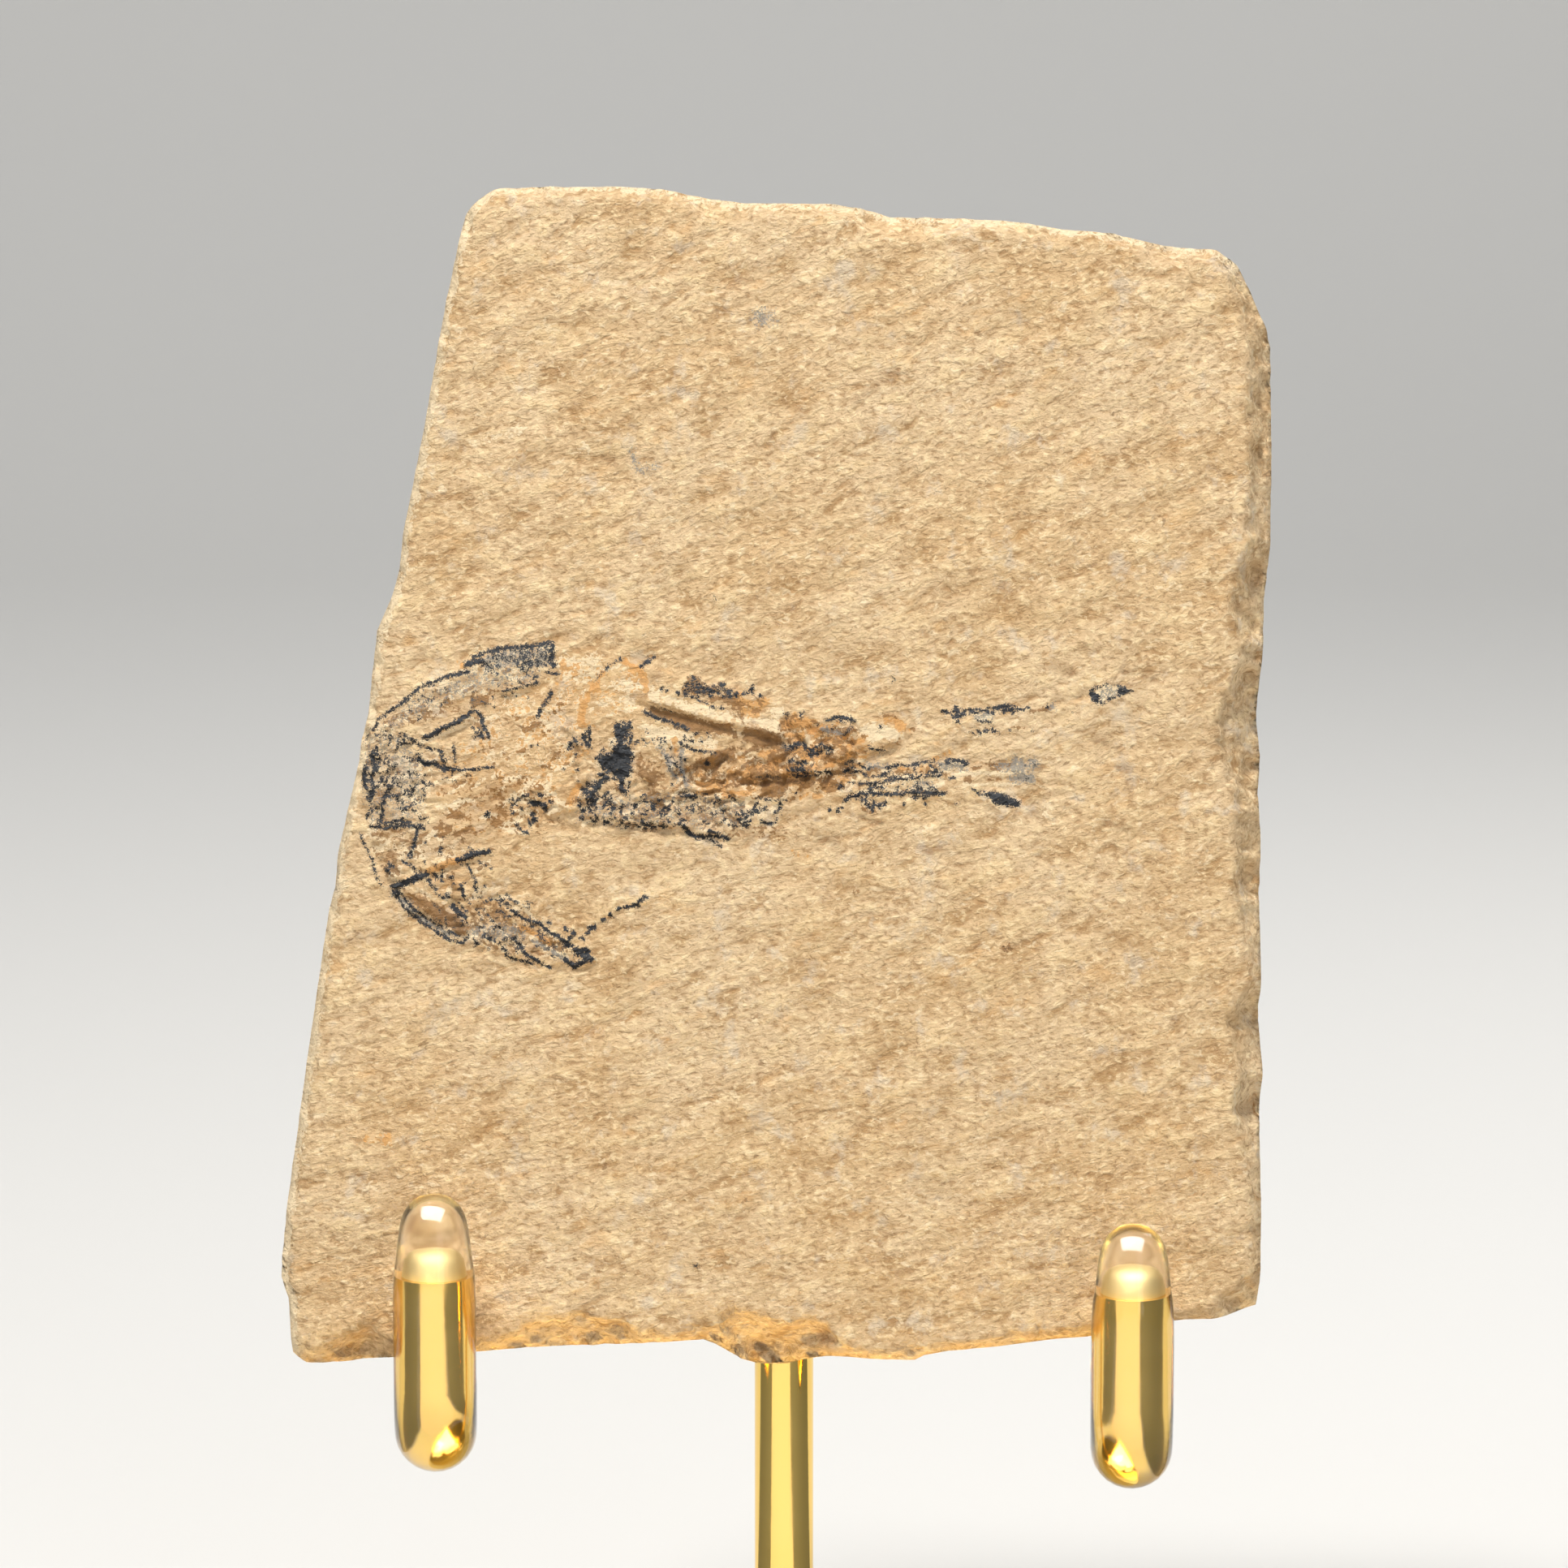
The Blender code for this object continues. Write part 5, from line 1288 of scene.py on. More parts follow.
# %% Draw the upper feelers and the chip
stroke("black", 0.28, (12.6, 5.8), (13.1, 5.6))
dots("black", 0.28, (13.4, 5.3), (13.7, 5.0), (13.2, 5.5), (20.8, 6.1), (18.5, 5.9), (19.0, 5.95))
nicks("black", 0.3, 0.5, 8, (13.5, 5.9), (14.3, 5.8), (14.2, 5.3), (13.5, 5.3))
patch("grey", 0.6, (14.9, 5.9), (16.6, 5.9), (16.5, 4.9), (15.1, 4.95))
stroke("cream", 0.42, (15.3, 5.5), (15.6, 5.15), (16.2, 5.35))
stroke("black", 0.4, (14.7, 5.8), (15.0, 5.75))
stroke("black", 0.2, (15.0, 5.95), (16.4, 6.0), strength=0.9)
stroke("black", 0.24, (15.2, 5.6), (15.6, 5.78), (16, 5.75), (16.5, 5.75), (16.6, 5.5))
stroke("black", 0.24, (15.3, 5.0), (15.8, 4.9), (16.4, 4.95))
stroke("black", 0.4, (16.6, 5.9), (17.2, 6.12), (17.7, 6.15))
nicks("black", 0.26, 0.5, 10, (16.7, 6.1), (18.1, 6.1), (18, 5.65), (16.8, 5.7))
stroke("black", 0.24, (18, 6.0), (18.6, 5.9), (19, 5.95), (19.4, 5.95), strength=0.95)
stroke("brown", 0.22, (19.5, 5.8), (20.5, 5.9), (21.4, 6.0), strength=0.9)
stroke("grey", 0.2, (21.0, 5.9), (21.2, 6.15), (21.4, 5.95))
dots("black", 0.18, (22.8, 5.65))
dots("black", 0.3, (15.3, 4.15), (15.9, 4.08), (16.1, 4.2), (16.6, 4.15))
dots("black", 0.24, (14.9, 4.05), (15.6, 4.05), (17, 4.05), (17.85, 4.25), (19.6, 4.15), (16.35, 4.4))
stroke("brown", 0.3, (17.5, 4.35), (18.3, 4.5), (19, 4.5), strength=0.6)
patch(
    "cream", 1.0, (24.1, 7.3), (24.9, 7.7), (25.6, 7.9), (26.6, 7.75), (27.0, 7.3), (26.4, 6.95),
    (25.6, 6.7), (24.8, 6.3),
    border=0.15,
)
patch("grey", 0.62, (24.9, 7.5), (25.7, 7.8), (26.5, 7.6), (26.3, 7.0), (25, 6.6), border=0.3)
stroke("black", 0.2, (24.1, 7.4), (24.9, 7.72), (25.2, 7.7))
stroke("black", 0.2, (25.5, 7.9), (26.2, 7.78), (26.9, 7.68))
stroke("black", 0.2, (24.9, 6.4), (25.7, 6.7), (26.5, 7.0))
patch(
    "black", 1.0, (24, 7.35), (24.5, 7.35), (24.95, 7.0), (24.9, 6.6), (24.7, 6.15), (24.3, 6.7),
    border=0.15,
)
patch("black", 1.0, (26.4, 7.7), (26.95, 7.65), (27.4, 7.25), (26.9, 7.05), (26.2, 7.05), border=0.15)
stroke("black", 0.16, (27.2, 7.3), (27.6, 7.35))

# %% [markdown]
# ### Marks elsewhere on the stone
# The stone round the animal has marks of its own: short brown cracks, pale crusts where a flake
# came off, rusty stains, two grey smudges above the animal and scattered specks. A pale band of
# painted highlight runs along the left and top edges, where the broken rim faces the light.

# %% Draw the stone's own marks
# Painted highlight along the left and top edges, which face the light
stroke("cream", 1.4, *LEFT_EDGE, strength=0.75)
stroke("cream", 1.1, *TOP_EDGE, strength=0.6)
CRACKS = (
    ((26.3, 9.1), (26.9, 8.75), (27.8, 8.8), (28.6, 8.6), (29.2, 8.3)),
    ((20.9, 9.3), (22, 9), (22.8, 8.75)), ((24.5, 3.5), (25.2, 3.3), (26.1, 3.05)),
    ((25.3, -3), (26.2, -3.3), (27.4, -3.7)), ((6, -2.7), (7.7, -3.05)), ((11.2, -5.4), (13, -5.1)),
    ((2.7, -4.25), (3.8, -4.5), (4.3, -4.9)), ((26.3, 1.35), (27, 1.15), (27.4, 0.85)),
    ((-16.9, 27.6), (-14.9, 27.2)), ((-14.2, 25.7), (-13.1, 25.1)), ((-4, 39.9), (-2.9, 39.8)),
    ((5.5, 30.2), (6.7, 31.0), (8.9, 32.6)), ((19.5, -2.3), (20.4, -2.2)), ((16.3, -2.0), (16.9, -2.3)),
)
# The cracks are cut in and coloured brown, which is stain and also painted shade in the groove
for crack in CRACKS:
    stroke("crack", 0.3, *crack, strength=0.8)
stroke("cream", 0.3, (20.4, -2.2), (21.0, -2.8))
patch("cream", 0.6, (10.8, -3), (12, -3.1), (11.9, -3.8), (10.9, -3.7))
for u, v in ((-22.8, 27.4), (-21, 28), (-15.6, 26.6), (-12.1, 16.3), (23.3, 15.3)):
    patch("cream", 0.75, (u - 0.7, v - 0.3), (u, v + 0.4), (u + 0.8, v + 0.3), (u + 0.3, v - 0.4))
patch("grey", 0.85, (-2.6, 36.9), (-1.9, 37.4), (-0.9, 37.1), (-0.8, 36.5), (-1.9, 36.3), border=0.7)
stroke("grey", 0.4, (-12.1, 26.2), (-11.5, 24.7), (-10, 25.1), strength=0.7)
dots("black", 0.3, (-5.3, 14.7), (-18, 22.8), (8.5, 8.45), (-7.05, -38.1), (30.6, 12.0), (17.6, -12.9))
stroke("brown", 0.5, (17.2, -13.0), (17.9, -12.8))
patch("orange", 0.5, (-33.7, -27.4), (-31.2, -27.6), (-31, -28.7), (-33.3, -28.5), border=0.7)
stroke("brown", 0.3, (5.1, -9.9), (5.8, -8), (7, -6), strength=0.5)
patch("orange", 0.45, (0.7, -5.2), (2.2, -5.4), (2.1, -6.2), (0.8, -6.0), border=0.5)
print("the drawing has", len(marks), "marks")

# %% [markdown]
# ## From drawing to stone
# Each kind of colour becomes one number on every point of the mesh: 1 in the middle of a mark, 0
# well outside it, and a slope between. The material later cuts that slope with noise, so the
# edge of a mark is as ragged as the film it stands for. The points are nudged about before they
# are measured, which makes every line waver a little. Black film also lifts the stone by a hair.

# %% Turn marks into numbers on the points
MARK_SLOPE = 0.42
HALO = 0.6
HALO_STRENGTH = 0.2
WAVER = 0.12
WAVER_SIZE, WAVER_SEED = 0.7, 31.0
KINDS = ("black", "grey", "brown", "orange", "cream", "crack")
FILM_LIFT = 0.07
CRACK_DEPTH = 0.3


def cover_points(points):
    """How strongly each kind of mark covers each point."""
    points = nudged(points, WAVER, WAVER_SIZE, WAVER_SEED)
    cover = {kind: np.zeros(len(points)) for kind in KINDS}
    for kind, width, strength, line, filled in marks:
        corners = np.array(line)
        margin = width + MARK_SLOPE + HALO
        low, high = corners.min(axis=0) - margin, corners.max(axis=0) + margin
        close = np.flatnonzero(np.all((points > low) & (points < high), axis=1))
        distance, _ = to_line(points[close], line, closed=filled)
        if filled:
            signed = np.where(is_inside(points[close], line), distance, -distance)
            share = np.clip(0.5 + signed / (2 * width), 0.0, 1.0)
        else:
            share = np.clip(0.5 + (width - distance) / MARK_SLOPE, 0.0, 1.0)
            halo = HALO_STRENGTH * np.clip(1 - (distance - width) / HALO, 0.0, 1.0)
            share = np.maximum(share, halo)
        cover[kind][close] = np.maximum(cover[kind][close], strength * share)
    return cover


cover = cover_points(front_points)
lift += FILM_LIFT * cover["black"] - CRACK_DEPTH * cover["crack"]
for kind in KINDS:
    print(kind, "reaches", int((cover[kind] > 0.5).sum()), "points")

# %% [markdown]
# ## Raise, break and close the stone
# Now the flat sheet becomes a stone. Front points move out by their lift and fall back where the
# edge broke away. Walls get strata: thin beds that stand out or draw in by a few tenths of a
# millimetre from a line set inside the outline, so only a rare one reaches past it by a hair. The
# stone is cut off at the sides of its solid's box. The back is another, duller split.

# %% Shape the stone
BREAK_START = 0.3
BREAK_SLOPE = 1.1
RIM_WAVER = 0.5
RIM_WAVER_SIZE, RIM_WAVER_SEED = 0.9, 41.0
BREAK_CURVE = 0.7
BACK_CHIP_REACH, BACK_CHIP_DEPTH = 1.6, 0.9

# Each noise: its height, the size of its lumps and its seed
BREAK_ROUGHNESS = ((0.25, 2.5, 3.0), (0.3, 0.9, 4.0))
BACK_HOLLOWS = ((0.2, 6.0, 7.0), (0.12, 2.2, 8.0))

# The beds in the walls: how far each set stands out, its length, its thickness and its seed
WALL_BEDS = ((0.35, 5.0, 1.3, 0.0), (0.2, 1.4, 0.7, 9.0))
WALL_INSET = 0.4

# Towards the back the plate's lower edge drops to rest on the legs, by this much at each prong
EDGE_DROP_STARTS, EDGE_DROP_SPAN = -40.0, 3.0
PRONG_SPOTS = (-27.35, 27.3)
PLATE_DROPS = {"left": 0.2, "right": 0.85}


def break_depth(points):
    """How far the broken edge has fallen behind the face, deeper where the break is wider."""
    jagged = nudged(points, RIM_WAVER, RIM_WAVER_SIZE, RIM_WAVER_SEED)
    to_rim, _ = to_line(jagged, FACE_RIM, closed=True)
    to_outside, _ = to_line(points, OUTLINE, closed=True)
    width = to_rim + to_outside
    fallen = BREAK_START + BREAK_SLOPE * width * (1 + rolling(points, BREAK_ROUGHNESS))
    broken = fallen * (to_rim / width) ** BREAK_CURVE
    depth = np.where(is_inside(jagged, FACE_RIM), 0.0, broken)
    for u, v, half_width, half_height, bite in CHIPS:
        reach = ((points[:, 0] - u) / half_width) ** 2 + ((points[:, 1] - v) / half_height) ** 2
        depth += bite * np.clip(1 - reach, 0.0, 1.0)
    return depth


def back_depth(points):
    """The split back, hollowed here and there and chipped away along its rim."""
    to_outside, _ = to_line(points, OUTLINE, closed=True)
    chipped = np.clip(1 - to_outside / BACK_CHIP_REACH, 0.0, 1.0) ** 2
    hollows = sum(deep * np.abs(lumps(points, size, seed)) for deep, size, seed in BACK_HOLLOWS)
    return PLATE_THICKNESS - hollows - BACK_CHIP_DEPTH * chipped


def bed_edge(u, v, depth):
    """How far the wall stands out at this point, by the bed that it lies in."""
    return -WALL_INSET + sum(
        out * noise.noise(Vector((u / length, v / length, depth / thick + seed)))
        for out, length, thick, seed in WALL_BEDS
    )


def shape_stone():
    depth = np.zeros(len(flat))
    depth[on_front] = break_depth(front_points) - lift
    sides, share = flat[~on_front], layer[~on_front]
    rim_depth = break_depth(sides) - large_relief(sides)
    depth[~on_front] = (1 - share) * rim_depth + share * back_depth(sides)

    outwards = flat - flat.mean(axis=0)
    outwards /= np.linalg.norm(outwards, axis=1)[:, None]
    beds = np.zeros(len(flat))
    for index in np.flatnonzero((layer > 0.01) & (layer < 0.99)):
        beds[index] = bed_edge(*flat[index], depth[index])
    shaped = flat + outwards * beds[:, None]
    shaped[:, 0] = np.clip(shaped[:, 0], slab_low.x / MM, slab_high.x / MM)
    lowest = np.clip((EDGE_DROP_STARTS - shaped[:, 1]) / EDGE_DROP_SPAN, 0.0, 1.0)
    drop = np.interp(shaped[:, 0], PRONG_SPOTS, list(PLATE_DROPS.values()))
    shaped[:, 1] -= lowest * layer * drop
    return np.stack([shaped[:, 0], depth, shaped[:, 1]], axis=1)


stone_points = shape_stone()
stone_mesh.vertices.foreach_set("co", stone_points.ravel())


def add_numbers(mesh, name, values, kind="FLOAT", slot="value"):
    """Keep one number, or one vector, for each point of a mesh."""
    column = mesh.attributes.new(name, kind, "POINT")
    column.data.foreach_set(slot, np.ascontiguousarray(values, dtype=np.float32).ravel())


for kind in KINDS:
    everywhere = np.zeros(len(flat))
    everywhere[on_front] = cover[kind]
    add_numbers(stone_mesh, kind, everywhere)
height = np.zeros(len(flat))
height[on_front] = flaky
add_numbers(stone_mesh, "height", height)
along_bed = np.column_stack([grain_points, stone_points[:, 1]])
add_numbers(stone_mesh, "along_grain", along_bed, "FLOAT_VECTOR", "vector")
add_numbers(stone_mesh, "stone_mm", stone_points, "FLOAT_VECTOR", "vector")
stone_mesh.transform(plate_to_world)
stone_mesh.shade_smooth()
print("the stone's points are in place")

# %% [markdown]
# ## The limestone material
# A warm cream drifts over centimetres, and two grains darken and lighten it: a broad one along
# the leaning flakes and a crinkle that lies nearly level, as the fine layers do. Their dark and
# light tones are partly the stone's own grain and partly painted shade and painted highlight on
# the flakes. Rusty and grey patches follow, then pale wisps of painted highlight on flake edges,
# thin crevices of painted shade and painted shade in the low spots. Over them lie the marks.
# Grey, orange and brown first tint the stone like a thin glaze and then cover it where noise
# lets them, and the black film has a dusty fringe. A bump carries the grain that is too fine
# for the mesh.

# %% Mix the limestone
MARK_EDGE = 0.14
MARK_ENDS = 0.08


def kept_values(tree, name, socket="Fac"):
    """The numbers kept on the mesh under this name."""
    made = add_node(tree, "Attribute", attribute_name=name, attribute_type="GEOMETRY")
    return made.outputs[socket]


def ragged(tree, name, bite, noises, start=0.42):
    """A mark's number cut by two sizes of noise into a ragged mask."""
    cover = kept_values(tree, name)
    both = calculate(tree, "ADD", *noises)
    shifted = calculate(tree, "MULTIPLY", calculate(tree, "SUBTRACT", both, 1.0), bite)
    lit = calculate(tree, "ADD", cover, shifted)
    gate = soft_step(tree, cover, 0.01, MARK_ENDS)
    return calculate(tree, "MULTIPLY", soft_step(tree, lit, start, start + MARK_EDGE), gate)


LEVEL_RISE = radians(6)
LEVEL_SQUEEZE = 0.6
FLAKE_ROUGHNESS = 0.63


def flakes(tree, where, size, distortion):
    """Detailed noise, a little twisted, for layers of thin flakes."""
    inputs = {
        "Vector": where, "Scale": 1 / size, "Detail": 5.0, "Roughness": FLAKE_ROUGHNESS,
        "Distortion": distortion,
    }
    return add_node(tree, "TexNoise", inputs).outputs["Fac"]


def make_limestone():
    material, tree, shader = start_material("limestone", {"Specular IOR Level": 0.15})
    bed, place = kept_values(tree, "along_grain", "Vector"), kept_values(tree, "stone_mm", "Vector")
    laid = {"Vector": place, "Rotation": (0.0, LEVEL_RISE, 0.0), "Scale": (LEVEL_SQUEEZE, 1.0, 1.0)}
    level = add_node(tree, "Mapping", laid).outputs["Vector"]

    drift = soft_step(tree, grain(tree, place, 12.0), 0.35, 0.65)
    broad, crinkle = flakes(tree, bed, 1.9, 0.3), flakes(tree, level, 0.42, 0.4)
    wisp_highlights, crevice_shade = flakes(tree, level, 0.7, 0.5), flakes(tree, bed, 1.1, 0.4)
    rust = grain(tree, bed, 2.1, detail=4.0, roughness=0.6)
    grey_drift = grain(tree, place, 3.2, detail=5.0, roughness=0.65)

    # The bare stone: each wash's mask, its strength and its colour
    washes = [
        # Broad and crinkle: the grain's own tone, and also painted shade and painted highlight on the flakes
        (soft_step(tree, broad, 0.48, 0.33), 0.8, srgb(184, 144, 94)),
        (soft_step(tree, broad, 0.52, 0.66), 0.7, srgb(242, 212, 162)),
        (soft_step(tree, crinkle, 0.48, 0.36), 0.62, srgb(166, 126, 80)),
        (soft_step(tree, crinkle, 0.52, 0.64), 0.7, srgb(252, 226, 178)),
        (soft_step(tree, rust, 0.57, 0.7), 0.3, srgb(222, 166, 98)),
        (soft_step(tree, grey_drift, 0.55, 0.68), 0.45, srgb(222, 210, 190)),
        # Painted highlights on the edges of flakes
        (soft_step(tree, wisp_highlights, 0.58, 0.66), 0.55, srgb(253, 232, 192)),
        # Painted shade in thin crevices
        (soft_step(tree, crevice_shade, 0.34, 0.29), 0.65, srgb(134, 98, 58)),
        # Painted shade where the grain's height is low
        (soft_step(tree, kept_values(tree, "height"), 0.02, -0.2), 0.25, srgb(178, 140, 88)),
    ]

    # The cracks and the thin glazes of the marks
    washes += [
        # The cracks' brown: stain and painted shade in the grooves
        (kept_values(tree, "crack"), 0.8, srgb(138, 100, 60)),
        (kept_values(tree, "grey"), 0.28, srgb(150, 148, 142)),
        (kept_values(tree, "orange"), 0.4, srgb(222, 164, 96)),
        # Brown is shell and stain, and in the trough and under ledges and the mound also painted shade
        (kept_values(tree, "brown"), 0.45, srgb(178, 132, 82)),
    ]

    # The marks themselves, the dark ones last
    near = grain(tree, place, 0.3, detail=3.0, roughness=0.6)
    small = grain(tree, place, 0.1)
    soft = (near, grain(tree, place, 1.1, detail=3.0, roughness=0.6))
    sharp = (near, small)
    amber = blend_colours(tree, near, srgb(192, 126, 62), srgb(238, 186, 114))
    brown = blend_colours(tree, near, srgb(92, 60, 30), srgb(176, 130, 76))
    grey = blend_colours(tree, small, srgb(88, 90, 92), srgb(178, 172, 158))
    film_colour = blend_colours(tree, small, srgb(13, 15, 18), srgb(40, 42, 45))
    film = ragged(tree, "black", 1.4, sharp, start=0.5)
    washes += [
        # Cream is calcite, and in some strokes a painted highlight on lit edges and ledges
        (ragged(tree, "cream", 1.8, soft), 0.8, srgb(247, 224, 184)),
        (ragged(tree, "orange", 1.6, soft), 0.85, amber),
        # Brown is shell and stain, and in the trough and under ledges and the mound also painted shade
        (ragged(tree, "brown", 1.7, soft), 0.85, brown),
        (ragged(tree, "grey", 1.9, sharp), 0.8, grey),
        (ragged(tree, "black", 1.4, sharp, start=0.36), 0.45, srgb(122, 112, 96)),
        (film, 1.0, film_colour),
    ]

    colour = blend_colours(tree, drift, srgb(217, 182, 135), srgb(226, 196, 154))
    for mask, strength, wash in washes:
        colour = blend_colours(tree, calculate(tree, "MULTIPLY", mask, strength), colour, wash)
    tree.links.new(colour, shader.inputs["Base Color"])
    tree.links.new(remap(tree, film, 0.0, 1.0, 0.88, 0.55), shader.inputs["Roughness"])
    broad_height = calculate(tree, "MULTIPLY", broad, 1.8)
    crinkle_height = calculate(tree, "MULTIPLY", crinkle, 0.75)
    roughen(tree, shader, calculate(tree, "ADD", broad_height, crinkle_height), 1.0, 0.55)
    return material


stone = put_in_scene("fossil_stone", stone_mesh, make_limestone())
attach(stone, "root")
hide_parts("fossil_slab")
print("limestone has", len(stone.data.materials[0].node_tree.nodes), "nodes")

# %% [markdown]
# ## The brass rods
# The stand is bent from polished brass rod. Its solid in the frame has few sides, which would show
# in a mirror finish, so the rod is drawn again as a smooth curve through the same bends. Where it
# goes is read from the frame's boxes and a few heights. A curve with a round bevel is the natural
# way to make bent rod, and turning it into a mesh gives plain faces. The legs toe out
# a little towards the back, so that from the front each one hides behind its prong.

# %% Bend the rods
ROD_RADIUS = 2.4
SLEEVE_RADIUS = 3.25
FIT_GAP = 0.3
BEND_STEPS = 14
ROD_SIDES = 12
BENDS = {"front": 4.5, "rear": 4.4, "corner": 6.5}
ROD_ENDS = {"left": 52.5, "right": 51.1}
LEG_FRONTS = {"left": 38.5, "right": 35.2}
SLEEVE_PAST_PLATE = 1.3
TOE_OUT = 0.05
WELD = 0.005 * MM

# The rod's dressed end inside the clear tip: how far above the rod's shoulder, and the radius
END_PROFILE = ((-0.3, 1.75), (0.04, 1.75), (1.3, 1.6), (1.9, 1.35), (2.2, 1.0), (2.35, 0.5))


def rounded_path(corners, radii):
    """A line of points through the corners, with an arc of the given radius at each bend."""
    points = [Vector(corners[0])]
    for before, corner, after, radius in zip(corners, corners[1:], corners[2:], radii):
        corner = Vector(corner)
        inwards = (Vector(before) - corner).normalized()
        outwards = (Vector(after) - corner).normalized()
        half = inwards.angle(outwards) / 2
        centre = corner + (inwards + outwards).normalized() * (radius / sin(half))
        start = corner + inwards * (radius / tan(half)) - centre
        axis = start.cross(corner - centre).normalized()
        turn = pi - 2 * half
        for step in range(BEND_STEPS + 1):
            angle = turn * step / BEND_STEPS
            points.append(centre + start * cos(angle) + axis.cross(start) * sin(angle))
    return points + [Vector(corners[-1])]


def welded(shape, name, sharp_from):
    """A smooth and closed mesh of a round body, with sharp edges from this many degrees on."""
    bmesh.ops.remove_doubles(shape, verts=shape.verts[:], dist=WELD)
    bmesh.ops.recalc_face_normals(shape, faces=shape.faces[:])
    mesh = as_mesh(shape, name)
    mesh.shade_smooth()
    mesh.set_sharp_from_angle(angle=radians(sharp_from))
    return mesh


def swept(name, points, radii):
    """A round body along the points, as a closed and smooth mesh."""
    curve = bpy.data.curves.new(name, "CURVE")
    curve.dimensions = "3D"
    curve.bevel_depth = MM
    curve.bevel_resolution = ROD_SIDES
    curve.use_fill_caps = True
    spline = curve.splines.new("POLY")
    spline.points.add(len(points) - 1)
    for spot, point, radius in zip(spline.points, points, radii):
        spot.co = (*(point * MM), 1.0)
        spot.radius = radius
    guide = bpy.data.objects.new(name + " guide", curve)
    bpy.context.scene.collection.objects.link(guide)
    evaluated = guide.evaluated_get(bpy.context.evaluated_depsgraph_get())
    raw = bpy.data.meshes.new_from_object(evaluated)
    bpy.data.objects.remove(guide)
    shape = bmesh.new()
    shape.from_mesh(raw)
    bpy.data.meshes.remove(raw)
    return welded(shape, name, sharp_from=40)


def prong_line(side):
    """Where a prong stands and how its leg climbs, from the sleeve's box and the plate's edge."""
    low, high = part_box(side + "_sleeve")
    x = (low.x + high.x) / 2 / MM
    y = low.y / MM + SLEEVE_RADIUS
    bottom = np.array(BOTTOM_EDGE)
    rest = float(np.interp(x, bottom[:, 0], bottom[:, 1])) - PLATE_DROPS[side]
    edge = plate_to_world @ Vector((0, PLATE_THICKNESS, rest)) / MM
    front = LEG_FRONTS[side]
    run, climb = edge.y - y, edge.z - FIT_GAP - front
    steep = (climb - SLEEVE_RADIUS) / run
    rise = (climb - SLEEVE_RADIUS * sqrt(1 + steep**2)) / run
    end = edge.y + SLEEVE_PAST_PLATE
    slant = TOE_OUT if x > 0 else -TOE_OUT
    return {"x": x, "y": y, "front": front, "rise": rise, "slant": slant, "end": end}


def along_leg(prong, y):
    """The point on a leg's line at this depth."""
    run = y - prong["y"]
    return (prong["x"] + prong["slant"] * run, y, prong["front"] + prong["rise"] * run)


bar_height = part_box("cradle")[1].z / MM - ROD_RADIUS
left, right = prong_line("left"), prong_line("right")
cradle_corners = (
    (left["x"], left["y"], ROD_ENDS["left"]),
    along_leg(left, left["y"]),
    along_leg(left, 0),
    (along_leg(left, 0)[0], 0, bar_height),
    (along_leg(right, 0)[0], 0, bar_height),
    along_leg(right, 0),
    along_leg(right, right["y"]),
    (right["x"], right["y"], ROD_ENDS["right"]),
)
bend_order = ("front", "rear", "corner", "corner", "rear", "front")
cradle_path = rounded_path(cradle_corners, [BENDS[name] for name in bend_order])
cradle_mesh = swept("bent_rod", cradle_path, [ROD_RADIUS] * len(cradle_path))
print("prongs stand at", round(left["x"], 2), "and", round(right["x"], 2), "mm")
print("the bar is", round(bar_height, 2), "mm high")

# %% [markdown]
# ## Brass
# Polished brass is metal with a deep yellow reflection. A perfectly clean mirror looks like a
# drawing, so the roughness drifts with faint smudges, and a very shallow unevenness bends the
# reflected edges the way drawn rod does. The rod's two ends inside the clear tips were cut and
# dressed, which left them matt and pale, so they are small pieces of their own.

# %% Polish the brass
def make_brass(name, polish=0.06, smudge=0.16, tints=((250, 208, 108), (254, 218, 128))):
    """Brass whose roughness drifts between two values, and its tint with it."""
    material, tree, shader = start_material(name, {"Metallic": 1.0})
    place = add_node(tree, "TexCoord").outputs["Object"]
    smudges = grain(tree, place, 6 * MM, detail=3.0)
    tint = blend_colours(tree, smudges, srgb(*tints[0]), srgb(*tints[1]))
    tree.links.new(tint, shader.inputs["Base Color"])
    tree.links.new(remap(tree, smudges, 0.35, 0.7, polish, smudge), shader.inputs["Roughness"])
    roughen(tree, shader, grain(tree, place, 1.6 * MM), 0.25, 0.03)
    return material


cradle = put_in_scene("bent_rod", cradle_mesh, make_brass("polished brass"))
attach(cradle, "root")
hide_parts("cradle")

cut_brass = make_brass("cut brass", polish=0.5, smudge=0.7, tints=((186, 164, 112), (206, 186, 136)))
for side, shoulder in (("left", cradle_corners[0]), ("right", cradle_corners[-1])):
    points = [Vector(shoulder) + Vector((0, 0, above)) for above, _ in END_PROFILE]
    end_mesh = swept("rod_end_" + side, points, [radius for _, radius in END_PROFILE])
    rod_end = put_in_scene("rod_end_" + side, end_mesh, cut_brass)
    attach(rod_end, "root")
print("the bent rod has", len(cradle.data.polygons), "faces")

# %% [markdown]
# ## Post, braze and foot
# The post is the same rod, straight, with its lower end in the foot's socket. Brazing metal ran
# round the joint under the cross bar and set in a small hollow curve. The foot is out of the
# picture, so it is kept plain: a turned disc that rises in a shallow cone to the boss round the
# post. Post, bead and foot are all round, so each is one profile turned about the upright axis.

# %% Turn the post, the bead and the foot
TURN_STEPS = 96
EDGE_STEPS = 5
POST_ROUND = 0.3


